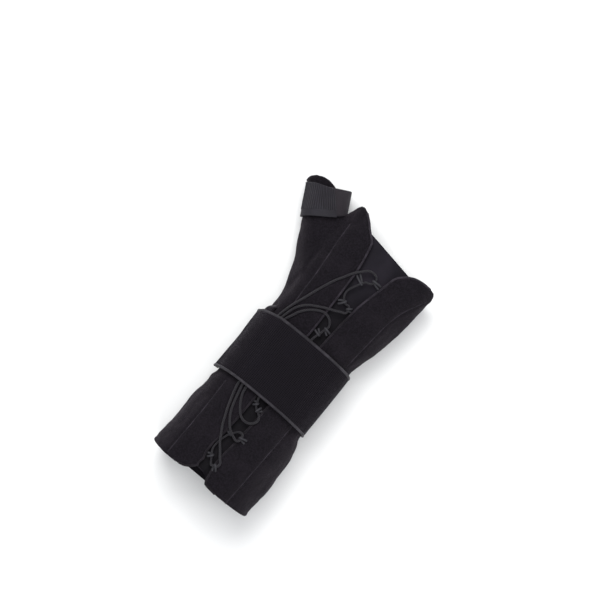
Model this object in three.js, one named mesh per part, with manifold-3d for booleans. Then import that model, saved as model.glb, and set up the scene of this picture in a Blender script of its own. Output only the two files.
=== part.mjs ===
// Thumb spica splint for a right hand, lying palm down.
// Millimetres. +Z is up (back of the hand), +Y towards the fingers, -X the thumb side.
// The origin is the middle of the wrist strap, on the surface that the splint rests on.
import * as THREE from "three";
import { mergeVertices } from "three/addons/utils/BufferGeometryUtils.js";
import Module from "manifold-3d";

const wasm = await Module();
wasm.setup();

// Named sizes.
const WALL = 3.6; // padded laminate of the sleeve
const GAP = 0.4; // between neighbouring pieces
const POWER = 2.25; // superellipse power of every section
const LOW_PART = 0.46; // share of a section's height below its widest place
const TONGUE_THICK = 1.8;
const STRAP_THICK = 2.0; // wrist strap
const BINDING_WIDTH = 2.3;
const THUMB_STRAP_THICK = 1.8;
const LACE = 1.1; // radius of the elastic lace
const TAPE = 0.7; // loop tape
const RIM_Y = -105.3; // proximal rim
const SPLIT_Z = 14; // the outline of the back is cut above this height
const SEAM_GAP = 0.3; // between the sewn parts of the sleeve
const SEAM_LOW = 26; // the panels' seams cut the sleeve above this height
const THUMB_BASE = 112; // the thumb sleeve starts here along its axis
const THUMB_INNER = 22; // and meets the hand here across it
const WRIST_SEAM_Y = 0; // between forearm shell and hand shell, under the wrist strap
const MIDDLE_X = 1.5; // between the two panels
const OUTER_X = 62; // past the sleeve on either side
const FAR_Y = 165; // past the sleeve's distal end
const NEAR_Y = -125; // past its proximal end
const THUMB_LEAN = (28.8 * Math.PI) / 180; // thumb axis from +Y towards the thumb side
const SECTION_POINTS = 36;
const THUMB_POINTS = 24;

// Hand and forearm sleeve: y, left x, right x, top z, underside z.
const SLEEVE = [
  [-112, -43.4, 48.6, 70, 0],
  [-100, -43.1, 48.4, 69.3, 0],
  [-88, -42.6, 48.7, 68.4, 0],
  [-76, -41.8, 48.2, 67.2, 0],
  [-64, -41.5, 47.6, 65.8, 0],
  [-52, -41.0, 47.4, 64.0, 0],
  [-44, -40.4, 46.2, 62.4, 0],
  [-38, -39.8, 44.4, 61.0, 0],
  [-34.5, -39.3, 42.4, 59.4, 1.8],
  [-31.5, -39.0, 41.0, 58.4, 2.4],
  [-16, -39.0, 40.7, 56.8, 2.4],
  [0, -39.0, 40.5, 55.7, 2.4],
  [16, -39.0, 40.2, 55.0, 2.4],
  [33.5, -39.0, 40.0, 54.8, 2.4],
  [36.5, -39.0, 40.8, 54.8, 1.6],
  [40, -39.1, 42.0, 54.8, 0],
  [46, -39.2, 43.4, 54.8, 0],
  [54, -40.4, 46.0, 54.6, 0],
  [64, -42.2, 47.7, 54.2, 0],
  [76, -42.5, 49.2, 53.6, 0],
  [88, -42.3, 50.4, 52.8, 0],
  [98, -41.4, 51.6, 51.8, 0],
  [108, -40.3, 52.3, 50.6, 0],
  [116, -39.3, 52.8, 49.6, 0],
  [124, -38.7, 52.9, 48.6, 0],
  [132, -38.0, 52.8, 47.6, 0],
  [139, -37.5, 52.6, 46.8, 0],
];

// Thumb sleeve: distance along the thumb axis, middle across, half width, underside z, top z.
const THUMB = [
  [58, 15.0, 17.0, 3.0, 46.0],
  [70, 13.4, 20.4, 1.5, 46.0],
  [82, 11.5, 19.5, 1.0, 43.5],
  [94, 9.8, 18.0, 1.5, 40.5],
  [106, 8.0, 16.3, 2.2, 37.5],
  [116, 6.8, 15.0, 3.0, 35.5],
  [124, 6.1, 14.3, 3.6, 34.2],
  [135, 6.05, 14.25, 3.8, 33.8],
  [146, 6.05, 14.25, 4.0, 33.5],
  [151, 5.6, 14.9, 3.8, 33.8],
  [158, 5.2, 15.4, 3.6, 34.0],
];

// The medial edge of the radial panel with its lobe, from the rim to the thumb crotch.
const RADIAL_EDGE = [
  [-43, -104.5], [-30, -105.8], [-20, -105], [-12, -103], [-8, -100.5],
  [-5, -97.5], [-3.6, -95.3], [-4.3, -93], [-3.3, -89], [-5, -84],
  [-5.4, -74], [-3.6, -62], [-3, -48], [-3, -36], [-2.8, -20],
  [-2.5, 10], [-2.3, 36], [-2.6, 48], [-3.1, 58], [-3.6, 68],
  [-4.2, 78], [-4.7, 88], [-5.4, 97], [-6.5, 104], [-8.2, 112],
  [-10, 119], [-12.4, 121.6], [-15, 124], [-18, 126.3], [-22, 130],
  [-28, 133.5], [-32.3, 134.8], [-34.5, 134], [-36.5, 131.5],
  [-38.2, 127.5], [-39.6, 124.3],
];
// The medial edge of the ulnar panel with its lobe, from the little finger side to the rim.
const ULNAR_EDGE = [
  [52.7, 114], [51, 117.7], [50, 119.2], [46, 120.8], [41, 121.6],
  [37, 121.2], [32, 120], [28, 118], [25, 115.7], [22.5, 113.3],
  [20.6, 111.2], [19, 108], [17.8, 102], [16.6, 96], [15.2, 90],
  [13.3, 82], [11.8, 74], [11.1, 66], [10.4, 58], [10, 50],
  [9.6, 42], [9.2, 30], [8.5, 0], [7.8, -30], [7.4, -46],
  [6.6, -56], [6.2, -66], [5.2, -76], [5, -85], [5.6, -91],
  [6.6, -96], [7.4, -100.5], [9, -103.4], [13, -104.3], [20, -105],
  [30, -105.3],
];

// Seams between the back panels and the shells, from the forearm's end to the hand's end.
const RADIAL_SEAM = [
  [-28, NEAR_Y], [-28, -60], [-29, -33], [-27.5, 0], [-27, 45], [-28, 60],
  [-28.5, 72], [-30.5, 92], [-31.5, 100], [-33, 110], [-38, 119.5],
];
const ULNAR_SEAM = [
  [31, NEAR_Y], [31.4, -80], [32, -50], [32.5, -26], [33.5, 0], [35, 33],
  [36, 50], [37, 65], [38, 78], [40, 88], [43, 97], [46, 103], [50, 110], [OUTER_X, 126],
];
// Plan outline of the thumb's side of the opening, from the crotch outwards.
const CROTCH = [[-41.2, 123.3], [-45, 131], [-50, 140], [-60, FAR_Y]];

// Tongue: y, left x, right x.
const TONGUE = [
  [-98, -13, 17], [-44, -14, 18], [30, -14, 20], [64, -15, 22], [104, -19, 30], [122, -22, 33],
];
const TONGUE_GAP = 0.6;
const TONGUE_COLUMNS = 9;

const lerp = (a, b, t) => a + (b - a) * t;

// Linear interpolation of a table row at the value v of its first column.
function row(table, v) {
  const last = table.length - 1;
  if (v <= table[0][0]) return table[0].slice(1);
  if (v >= table[last][0]) return table[last].slice(1);
  let i = 0;
  while (table[i + 1][0] < v) i += 1;
  const t = (v - table[i][0]) / (table[i + 1][0] - table[i][0]);
  return table[i].slice(1).map((q, k) => lerp(q, table[i + 1][k + 1], t));
}

const rounded = (c) => Math.sign(c) * Math.abs(c) ** (2 / POWER);

// A point of the sleeve's section at y, moved outwards by off; angle 90 degrees is the top.
function sleevePoint(y, angle, off) {
  const [left, right, top, low] = row(SLEEVE, y);
  const middle = low + LOW_PART * (top - low);
  const x = (left + right) / 2 + ((right - left) / 2 + off) * rounded(Math.cos(angle));
  const z = middle + (top - middle + off) * rounded(Math.sin(angle));
  return [x, y, Math.max(z, low - off)];
}

// Height of the sleeve's back at (x, y), moved outwards by off.
function topZ(x, y, off) {
  const [left, right, top, low] = row(SLEEVE, y);
  const middle = low + LOW_PART * (top - low);
  const share = Math.min(1, Math.abs(x - (left + right) / 2) / ((right - left) / 2 + off));
  return middle + (top - middle + off) * (1 - share ** POWER) ** (1 / POWER);
}

// Plan place of the thumb coordinates: u along the thumb axis, n across it.
function thumbPlan(n, u) {
  const c = Math.cos(THUMB_LEAN);
  const s = Math.sin(THUMB_LEAN);
  return [n * c - u * s, n * s + u * c];
}

// A point of the thumb sleeve's section; angle 0 faces the hand, 90 degrees is the top.
function thumbPoint(u, angle, off) {
  const [across, half, low, top] = row(THUMB, u);
  const n = across + (half + off) * rounded(Math.cos(angle));
  const z = (low + top) / 2 + ((top - low) / 2 + off) * rounded(Math.sin(angle));
  return [...thumbPlan(n, u), z];
}

// A closed geometry from points and triangles, turned so that its faces point out.
function closed(points, faces) {
  let volume = 0;
  for (const [a, b, c] of faces) {
    const [p, q, r] = [points[a], points[b], points[c]];
    volume +=
      p[0] * (q[1] * r[2] - q[2] * r[1]) +
      p[1] * (q[2] * r[0] - q[0] * r[2]) +
      p[2] * (q[0] * r[1] - q[1] * r[0]);
  }
  const turned = volume < 0 ? faces.map(([a, b, c]) => [a, c, b]) : faces;
  const geometry = new THREE.BufferGeometry();
  geometry.setAttribute("position", new THREE.Float32BufferAttribute(points.flat(), 3));
  geometry.setIndex(turned.flat());
  return geometry;
}

// A geometry as a solid that can be joined and cut, and back.
function toSolid(geometry) {
  const bare = geometry.clone();
  bare.deleteAttribute("normal");
  bare.deleteAttribute("uv");
  const merged = mergeVertices(bare, 1e-4);
  return new wasm.Manifold(
    new wasm.Mesh({
      numProp: 3,
      vertProperties: new Float32Array(merged.attributes.position.array),
      triVerts: new Uint32Array(merged.index.array),
    }),
  );
}
function toGeometry(body) {
  const { vertProperties, triVerts } = body.getMesh();
  const geometry = new THREE.BufferGeometry();
  geometry.setAttribute("position", new THREE.BufferAttribute(vertProperties, 3));
  geometry.setIndex(new THREE.BufferAttribute(triVerts, 1));
  return geometry;
}

// A closed body through closed rings of equal length, with fans at its ends.
function loft(rings) {
  const count = rings[0].length;
  const points = rings.flat();
  const faces = [];
  for (let i = 0; i + 1 < rings.length; i += 1) {
    for (let j = 0; j < count; j += 1) {
      const a = i * count + j;
      const b = i * count + ((j + 1) % count);
      faces.push([a, b, b + count], [a, b + count, a + count]);
    }
  }
  for (const [start, first] of [[0, true], [(rings.length - 1) * count, false]]) {
    const centre = [0, 1, 2].map((k) => {
      let sum = 0;
      for (let j = 0; j < count; j += 1) sum += points[start + j][k];
      return sum / count;
    });
    points.push(centre);
    const hub = points.length - 1;
    for (let j = 0; j < count; j += 1) {
      const a = start + j;
      const b = start + ((j + 1) % count);
      faces.push(first ? [hub, b, a] : [hub, a, b]);
    }
  }
  return closed(points, faces);
}

// A slab between two grids of points of the same shape.
function slab(outer, inner) {
  const n = outer.length;
  const m = outer[0].length;
  const points = [...outer.flat(), ...inner.flat()];
  const at = (side, i, j) => side * n * m + i * m + j;
  const faces = [];
  const quad = (a, b, c, d) => faces.push([a, b, c], [a, c, d]);
  for (let i = 0; i + 1 < n; i += 1) {
    for (let j = 0; j + 1 < m; j += 1) {
      quad(at(0, i, j), at(0, i + 1, j), at(0, i + 1, j + 1), at(0, i, j + 1));
      quad(at(1, i, j), at(1, i, j + 1), at(1, i + 1, j + 1), at(1, i + 1, j));
    }
    quad(at(0, i, 0), at(1, i, 0), at(1, i + 1, 0), at(0, i + 1, 0));
    quad(at(0, i, m - 1), at(0, i + 1, m - 1), at(1, i + 1, m - 1), at(1, i, m - 1));
  }
  for (let j = 0; j + 1 < m; j += 1) {
    quad(at(0, 0, j), at(0, 0, j + 1), at(1, 0, j + 1), at(1, 0, j));
    quad(at(0, n - 1, j), at(1, n - 1, j), at(1, n - 1, j + 1), at(0, n - 1, j + 1));
  }
  return closed(points, faces);
}

const shapeOf = (outline) => new THREE.Shape(outline.map(([a, b]) => new THREE.Vector2(a, b)));

// A vertical prism over a plan outline.
function prism(outline, low, high) {
  const settings = { depth: high - low, bevelEnabled: false };
  return new THREE.ExtrudeGeometry(shapeOf(outline), settings).translate(0, 0, low);
}

const angles = (count, from, to) =>
  Array.from({ length: count }, (_, i) => lerp(from, to, i / (count - 1)));
const DEG = Math.PI / 180;

// Sleeve: a padded shell for forearm, hand and thumb, open at the back where it laces up.
function sleeveShell() {
  const turn = (count) => Array.from({ length: count }, (_, i) => (2 * Math.PI * i) / count);
  const hand = loft(SLEEVE.map(([y]) => turn(SECTION_POINTS).map((a) => sleevePoint(y, a, 0))));
  const handStations = SLEEVE.map(([y]) => y);
  handStations[0] -= 20;
  handStations[handStations.length - 1] += 20;
  const handHollow = loft(
    handStations.map((y) => turn(SECTION_POINTS).map((a) => sleevePoint(y, a, -WALL))),
  );
  const thumb = loft(THUMB.map(([u]) => turn(THUMB_POINTS).map((a) => thumbPoint(u, a, 0))));
  const thumbStations = THUMB.map(([u]) => u);
  thumbStations[thumbStations.length - 1] += 20;
  const thumbHollow = loft(
    thumbStations.map((u) => turn(THUMB_POINTS).map((a) => thumbPoint(u, a, -WALL))),
  );
  const shell = toSolid(hand)
    .add(toSolid(thumb))
    .subtract(toSolid(handHollow).add(toSolid(thumbHollow)));

  const back = [
    [OUTER_X, FAR_Y], [OUTER_X, 114], ...ULNAR_EDGE, [OUTER_X, RIM_Y], [OUTER_X, NEAR_Y],
    [-OUTER_X, NEAR_Y], [-OUTER_X, -104.5], ...RADIAL_EDGE, ...CROTCH,
  ];
  const thumbEnd = [
    [30, 142.5], [20, 142.5], [12, 144.5], [8, 146.5], [4.5, 149.3], [0, 151.6],
    [-4, 152.2], [-7.5, 151.3], [-9.8, 148.8], [-30, 147], [-30, 190], [30, 190],
  ].map(([n, u]) => thumbPlan(n, u));
  // The palm ends lower than the back: an outline in Y and Z, extruded along X.
  const palmEnd = [
    [107, -5], [107, 0], [111, 12], [117, 24], [142, 44], [200, 44], [200, -5],
  ];
  const yzx = new THREE.Matrix4().makeBasis(
    new THREE.Vector3(0, 1, 0), new THREE.Vector3(0, 0, 1), new THREE.Vector3(1, 0, 0),
  );
  const palmCut = new THREE.ExtrudeGeometry(shapeOf(palmEnd), {
    depth: 2 * OUTER_X,
    bevelEnabled: false,
  })
    .applyMatrix4(yzx)
    .translate(-OUTER_X, 0, 0);
  const palmPlan = prism(
    [
      [-41, FAR_Y], [-41, 121], [-39, 117], [-36, 112], [-34, 106], [OUTER_X, 106],
      [OUTER_X, FAR_Y],
    ],
    -6,
    46,
  );
  const rim = prism(
    [[-OUTER_X, NEAR_Y], [OUTER_X, NEAR_Y], [OUTER_X, RIM_Y], [-OUTER_X, RIM_Y]], -10, SPLIT_Z,
  );
  return shell
    .subtract(toSolid(prism(back, SPLIT_Z, 100)))
    .subtract(toSolid(rim))
    .subtract(toSolid(prism(thumbEnd, -10, 60)))
    .subtract(toSolid(palmCut).intersect(toSolid(palmPlan)));
}

// The sewn parts of the sleeve. Each region is made a second time, grown by the seam's gap,
// to be taken out of what lies next to it.
function sleeveParts() {
  const sleeve = sleeveShell();
  const radial = (grow) => {
    const seam = [...RADIAL_SEAM, ...CROTCH].map(([x, y]) => [x - grow, y]);
    const outline = [[MIDDLE_X, NEAR_Y], ...seam, [MIDDLE_X, FAR_Y]];
    return toSolid(prism(outline, SEAM_LOW - grow, 100));
  };
  const ulnar = (grow) => {
    const seam = ULNAR_SEAM.map(([x, y]) => [x + grow, y]);
    const outline = [[MIDDLE_X, NEAR_Y], ...seam, [OUTER_X + grow, FAR_Y], [MIDDLE_X, FAR_Y]];
    return toSolid(prism(outline, SEAM_LOW - grow, 100));
  };
  const thumb = (grow) => {
    const inner = THUMB_INNER + grow;
    const base = THUMB_BASE - grow;
    const outline = [[-30, base], [inner, base], [inner, 190], [-30, 190]];
    return toSolid(prism(outline.map(([n, u]) => thumbPlan(n, u)), -10, 60));
  };
  const side = (from, to) =>
    toSolid(prism([[-100, from], [100, from], [100, to], [-100, to]], -10, 100));
  const around = sleeve.subtract(radial(SEAM_GAP)).subtract(ulnar(SEAM_GAP));
  const shell = around.subtract(thumb(SEAM_GAP));
  return {
    radial_panel: sleeve.intersect(radial(0)),
    ulnar_panel: sleeve.intersect(ulnar(0)),
    thumb_sleeve: around.intersect(thumb(0)),
    forearm_shell: shell.intersect(side(NEAR_Y, WRIST_SEAM_Y - SEAM_GAP / 2)),
    hand_shell: shell.intersect(side(WRIST_SEAM_Y + SEAM_GAP / 2, FAR_Y)),
  };
}

// Tongue: a thin padded strip inside the sleeve behind the laces.
function tongueBody() {
  const low = WALL + TONGUE_GAP;
  const first = TONGUE[0][0];
  const last = TONGUE[TONGUE.length - 1][0];
  const between = SLEEVE.map(([y]) => y).filter((y) => y > first + 4 && y < last - 4);
  const outer = [];
  const inner = [];
  for (const station of [first, ...between, last]) {
    const [left, right] = row(TONGUE, station);
    const upper = [];
    const lower = [];
    for (let j = 0; j < TONGUE_COLUMNS; j += 1) {
      const x = lerp(left, right, j / (TONGUE_COLUMNS - 1));
      let y = station;
      if (station === first) y = -95.5 - 0.06 * Math.max(0, x - 1) ** 1.8;
      if (station === last) y = 124.2 - 0.16 * (x + 14);
      upper.push([x, y, topZ(x, y, -low)]);
      lower.push([x, y, topZ(x, y, -low) - TONGUE_THICK]);
    }
    outer.push(upper);
    inner.push(lower);
  }
  return slab(outer, inner);
}

// Wrist strap. It starts under itself at the back, goes round by the thumb side, the palm
// and the little finger side, crosses the back over the laces and ends past the thumb side.
const STRAP_START = 150;
const STRAP_END = 560;
const UNDER_END = 184; // the peeking corner of the under layer fades out here
const strapLift = [
  [STRAP_START, GAP], [290, GAP], [365, GAP], [400, 3.3], [500, 3.3], [535, 2.9], [STRAP_END, 2.9],
];
function strapEdges(degrees) {
  const crown = Math.max(0, Math.sin(degrees * DEG));
  const corner = degrees < UNDER_END ? 5.6 * (1 - (degrees - STRAP_START) / (UNDER_END - STRAP_START)) : 0;
  return [-30.2 + 4.2 * crown, 28.4 + 3.9 * crown + corner];
}
function strapBand(from, to, thick, extra) {
  const stations = angles(58, STRAP_START, STRAP_END);
  const grid = (off) =>
    stations.map((degrees) => {
      const [low, high] = strapEdges(degrees);
      const start = from(low, high);
      const end = to(low, high);
      const steps = Math.max(1, Math.round((end - start) / 20));
      return Array.from({ length: steps + 1 }, (_, k) => {
        const y = lerp(start, end, k / steps);
        const [lift] = row(strapLift, degrees);
        const point = sleevePoint(Math.max(-31.5, y), degrees * DEG, lift + off);
        return [point[0], y, Math.max(0, point[2])];
      });
    });
  const columns = Math.max(...grid(0).map((line) => line.length));
  const even = (off) =>
    grid(off).map((line) =>
      line.length === columns
        ? line
        : Array.from({ length: columns }, (_, k) => {
            const t = (k / (columns - 1)) * (line.length - 1);
            const i = Math.min(line.length - 2, Math.floor(t));
            return line[i].map((q, c) => lerp(q, line[i + 1][c], t - i));
          }),
    );
  return slab(even(thick + extra), even(-extra));
}

// Thumb strap: its under layer shows beside the hand and its tab ends on the back.
const THUMB_STRAP_START = 112;
const THUMB_STRAP_END = -304;
const thumbStrapLift = [
  [THUMB_STRAP_END, 2.6], [-250, 2.6], [-160, GAP], [THUMB_STRAP_START, GAP],
];
// Angle, proximal edge, distal edge, along the thumb axis.
const thumbStrapEdges = [
  [-304, 123.7, 145.4], [-270, 123.0, 147.0], [-240, 122.0, 148.0], [-180, 119.2, 147.6],
  [-90, 121.5, 146.0], [0, 125.8, 144.0], [60, 123.8, 145.0], [112, 123.0, 145.6],
];
function thumbStrapBand() {
  const grid = (off) =>
    angles(50, THUMB_STRAP_START, THUMB_STRAP_END).map((degrees) => {
      const [low, high] = row(thumbStrapEdges, degrees);
      const [lift] = row(thumbStrapLift, degrees);
      return angles(3, low, high).map((u) => {
        const point = thumbPoint(Math.max(124, Math.min(146, u)), degrees * DEG, lift + off);
        const [across, half] = row(THUMB, Math.max(124, Math.min(146, u)));
        const n = across + (half + lift + off) * rounded(Math.cos(degrees * DEG));
        return [...thumbPlan(n, u), point[2]];
      });
    });
  return slab(grid(THUMB_STRAP_THICK), grid(0));
}

// Lace loops: lace place x, y, direction to the panel in degrees, length, and how high the
// lace's middle stands there above the sleeve's face.
const LOOPS = {
  loop_ulnar_1: [9.5, 97.0, -8, 6.6, 0.1],
  loop_radial_1: [2.9, 90.0, 148, 7.8, 0.1],
  loop_radial_2: [1.8, 71.4, 222, 5.3, 0.1],
  loop_ulnar_2: [7.8, 68.2, 20, 2.8, 0.1],
  loop_ulnar_3: [4.3, 45.6, -24, 4.9, 0.1],
  loop_radial_3: [2.7, 39.4, 150, 4.4, 0.1],
  loop_radial_4: [0.4, -31.1, 205, 2.8, 0.3],
  loop_ulnar_4: [4.4, -35.4, 56, 3.6, 0.3],
  loop_ulnar_5: [8.2, -59.2, 0, 4.6, 2.7],
  loop_radial_5: [-0.1, -61.6, 143, 2.8, -1.6],
  loop_radial_6: [-0.9, -82.6, 213, 3.5, -0.4],
  loop_ulnar_6: [6.2, -87.4, -62, 4.4, 2.7],
};

// Laces: x, y and how high the lace's middle stands above the sleeve's face.
const LACES = {
  lace_distal: [
    [-30.6, 24, 1.6], [-30, 31, 1.5], [-27.7, 41.8, 1.5], [-24.3, 51.8, 1.5], [-21.2, 61, 1.5],
    [-18.2, 69.4, 1.5], [-14.3, 78.7, 1.5], [-10.5, 85.6, 1.5], [-6.7, 92.5, 1.5],
    [-2.8, 97.1, 1.3], [1, 100.9, 1.0], [4.8, 102.0, 0.7], [8.2, 101.2, 0.3],
    [9.8, 99.2, 0.1], [9.5, 97.0, 0.1], [9.2, 94.9, 0.1], [7.4, 93.7, 0.1],
    [4.9, 92.8, 0.1], [2.9, 90.0, 0.1], [1.6, 87.7, 0.1], [0, 84.5, 0.1],
    [-1.5, 81, 0.1], [-2, 78, 0.1], [-1.4, 75, 0.1], [-0.2, 72.9, 0.1],
    [1.8, 71.3, 0.1], [3.6, 70.2, 0.1], [5.6, 70.6, 0.1], [7.2, 70.0, 0.1],
    [7.8, 68.2, 0.1], [8.5, 66.2, 0.1], [7.6, 64.6, 0.6], [4.8, 63.4, 0.9],
    [1, 61.4, 1.3], [-3.2, 59.5, 1.5], [-6.7, 57.9, 1.5], [-12, 55, 1.5],
    [-16.6, 52.2, 1.5], [-20.5, 48.7, 1.5], [-24, 43.5, 1.5], [-25.8, 38, 1.5],
    [-27.2, 31.5, 1.5], [-27.6, 24, 1.6],
  ],
  lace_middle: [
    [-24.4, 24, 1.6], [-24.4, 31.5, 1.5], [-22.2, 37.2, 1.5], [-19.7, 43, 1.5], [-15.9, 48, 1.5],
    [-12, 51.4, 1.5], [-7.4, 54.1, 1.5], [-3.6, 54.9, 1.5], [0.2, 54.1, 1.1],
    [3.4, 51.6, 0.6], [5.0, 48.2, 0.2], [4.3, 45.6, 0.1], [3.6, 43.4, 0.1],
    [3.3, 41.4, 0.1], [2.7, 39.4, 0.1], [1.9, 37.1, 0.3], [1.4, 34.6, 0.9],
    [1.1, 31.5, 1.5], [0.8, 22, 1.6], [-0.4, 0, 1.6], [-2.0, -18, 1.6],
    [-1.8, -25.6, 1.5], [-0.6, -28.9, 0.5], [0.4, -31.1, 0.2], [1.4, -33.1, 0.1],
    [2.8, -34.5, 0.4], [4.4, -35.4, 0.2], [6.0, -36.3, 0.3], [8.5, -38.3, 1.6],
    [9.4, -41, 1.6], [8.2, -44.0, 1.6], [5, -46.6, 1.4], [1, -47.3, 1.4], [-3, -45.9, 1.5],
    [-6.3, -42.9, 1.5], [-10, -38, 1.5], [-12.7, -32.7, 1.5], [-14, -27, 1.5], [-14.2, -20, 1.6],
  ],
  lace_proximal: [
    [-17.4, -20, 1.6], [-17.4, -27, 1.5], [-16.3, -31.3, 1.5], [-14.2, -39.3, 1.5],
    [-11.7, -46.7, 1.6], [-8, -53.0, 1.8], [-3.3, -58.3, 2.1], [0, -60.4, 2.2],
    [3, -61.7, 2.2], [6, -62.6, 2.6], [8.0, -61.6, 2.7], [8.2, -59.2, 2.7],
    [7.9, -56.9, 2.6], [5.9, -55.7, 1.9], [3.7, -56.6, 0.6], [2.2, -58.2, -0.7],
    [1.0, -60.0, -1.6], [-0.1, -61.6, -1.8], [-1.2, -63.2, -1.8], [-2.2, -66.0, -1.5],
    [-3.3, -70, -1.4], [-3.8, -74, -1.3], [-3.6, -78, -1.0], [-2.4, -80.6, -0.5],
    [-0.9, -82.6, -0.4], [0.4, -84.5, -0.2], [1.8, -86.6, 0.6], [3.7, -88.4, 2.2],
    [6.2, -87.4, 2.7], [8.3, -85.9, 2.7], [7.9, -83.2, 2.2], [4.9, -79.9, 1.6],
    [1.7, -75.9, 1.5], [-2.3, -71.3, 1.5], [-5.7, -66, 1.5], [-9.3, -60, 1.5],
    [-12.5, -52.7, 1.5], [-15, -46.7, 1.5], [-17.3, -40, 1.5], [-19.2, -34, 1.5],
    [-20.6, -27.5, 1.5], [-20.8, -20, 1.6],
  ],
};

const LACE_SIDES = 8;
function laceCord(points) {
  const nodes = points.map(([x, y, lift]) => new THREE.Vector3(x, y, topZ(x, y, 0) + lift));
  const curve = new THREE.CatmullRomCurve3(nodes, false, "centripetal");
  curve.arcLengthDivisions = 800;
  const section = Array.from({ length: LACE_SIDES }, (_, k) => {
    const a = (2 * Math.PI * k) / LACE_SIDES;
    return [LACE * Math.cos(a), LACE * Math.sin(a)];
  });
  return new THREE.ExtrudeGeometry(shapeOf(section), {
    steps: Math.round(curve.getLength() / 3.6),
    extrudePath: curve,
    bevelEnabled: false,
  });
}

// A loop of tape: an eye round the lace and a flat tail to the edge of the panel.
const EYE = [2.1, 1.7]; // half sizes of the eye, along the tape and up
const TAPE_WIDTH = 3.4;
function laceLoop(length) {
  const ring = (count, from, to, grow) =>
    Array.from({ length: count }, (_, k) => {
      const a = lerp(from, to, k / (count - 1)) * DEG;
      return [(EYE[0] + grow) * Math.cos(a), (EYE[1] + grow) * Math.sin(a)];
    });
  const shape = shapeOf([[length, -0.6], [length, -1.9], ...ring(12, -28, -332, TAPE)]);
  shape.holes.push(shapeOf(ring(11, 0, 360, 0).slice(1)));
  return new THREE.ExtrudeGeometry(shape, { depth: TAPE_WIDTH, bevelEnabled: false })
    .translate(0, 0, -TAPE_WIDTH / 2)
    .rotateX(Math.PI / 2);
}

const COLOURS = {
  sleeve: 0x25242a,
  tongue: 0x29282e,
  strap: 0x2d2c31,
  binding: 0x47464c,
  webbing: 0x38363d,
  lace: 0x48484c,
  loop: 0x3c3b40,
};
const group = new THREE.Group();
group.name = "thumb_spica_splint";

function addNode(name, geometry, colour) {
  const flat = geometry.index ? geometry.toNonIndexed() : geometry;
  flat.computeVertexNormals();
  const material = new THREE.MeshStandardMaterial({ color: colour, roughness: 0.85 });
  const mesh = new THREE.Mesh(flat, material);
  mesh.name = name;
  group.add(mesh);
  return mesh;
}

for (const [name, body] of Object.entries(sleeveParts())) {
  addNode(name, toGeometry(body), COLOURS.sleeve);
}
addNode("tongue", tongueBody(), COLOURS.tongue);
addNode(
  "wrist_strap",
  strapBand((low) => low + BINDING_WIDTH + 0.3, (low, high) => high - BINDING_WIDTH - 0.3, STRAP_THICK, 0),
  COLOURS.strap,
);
addNode(
  "strap_binding_distal",
  strapBand((low, high) => high - BINDING_WIDTH, (low, high) => high, STRAP_THICK, 0),
  COLOURS.binding,
);
addNode(
  "strap_binding_proximal",
  strapBand((low) => low, (low) => low + BINDING_WIDTH, STRAP_THICK, 0),
  COLOURS.binding,
);
addNode("thumb_strap", thumbStrapBand(), COLOURS.webbing);
for (const [name, points] of Object.entries(LACES)) {
  addNode(name, laceCord(points), COLOURS.lace);
}
for (const [name, [x, y, degrees, length, lift]] of Object.entries(LOOPS)) {
  const mesh = addNode(name, laceLoop(length), COLOURS.loop);
  const slope = (topZ(x + 1, y, 0) - topZ(x - 1, y, 0)) / 2;
  mesh.position.set(x, y, topZ(x, y, 0) + lift);
  mesh.rotation.set(0, -Math.atan(slope), degrees * DEG, "YZX");
}

export default group;
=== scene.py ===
"""Thumb spica splint for a right hand, lying palm down. Sizes are in millimetres up to the meshes."""

import math

import bpy
import numpy as np
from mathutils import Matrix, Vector


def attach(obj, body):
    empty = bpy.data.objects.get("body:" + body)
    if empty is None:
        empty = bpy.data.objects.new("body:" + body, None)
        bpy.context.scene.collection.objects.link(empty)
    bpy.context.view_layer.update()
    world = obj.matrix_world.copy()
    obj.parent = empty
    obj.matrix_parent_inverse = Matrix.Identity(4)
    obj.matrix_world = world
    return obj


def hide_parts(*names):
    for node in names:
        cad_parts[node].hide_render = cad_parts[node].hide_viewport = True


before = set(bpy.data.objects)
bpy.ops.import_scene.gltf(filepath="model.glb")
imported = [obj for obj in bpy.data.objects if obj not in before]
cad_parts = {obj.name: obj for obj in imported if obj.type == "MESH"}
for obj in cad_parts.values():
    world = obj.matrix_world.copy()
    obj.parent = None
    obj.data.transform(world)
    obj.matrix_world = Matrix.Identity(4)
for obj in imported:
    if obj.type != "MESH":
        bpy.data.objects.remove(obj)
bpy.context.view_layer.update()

MM = 0.001
WALL = 3.6
POWER = 2.25
LOW_PART = 0.46
TONGUE_GAP = 0.6
TONGUE_THICK = 1.8
STRAP_THICK = 2.0
BINDING_WIDTH = 2.3
THUMB_STRAP_THICK = 1.8
RIM_Y = -105.3
SPLIT_Z = 14.0
LEAN = math.radians(28.8)
EDGE_ROUND = 2.8
END_ROUND = 2.0
HEM_INSET, HEM_HALF, HEM_DEPTH = 4.6, 1.2, 0.5
CELL = 1.25

SLEEVE_NODES = ("forearm_shell", "hand_shell", "thumb_sleeve", "radial_panel", "ulnar_panel")

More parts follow.
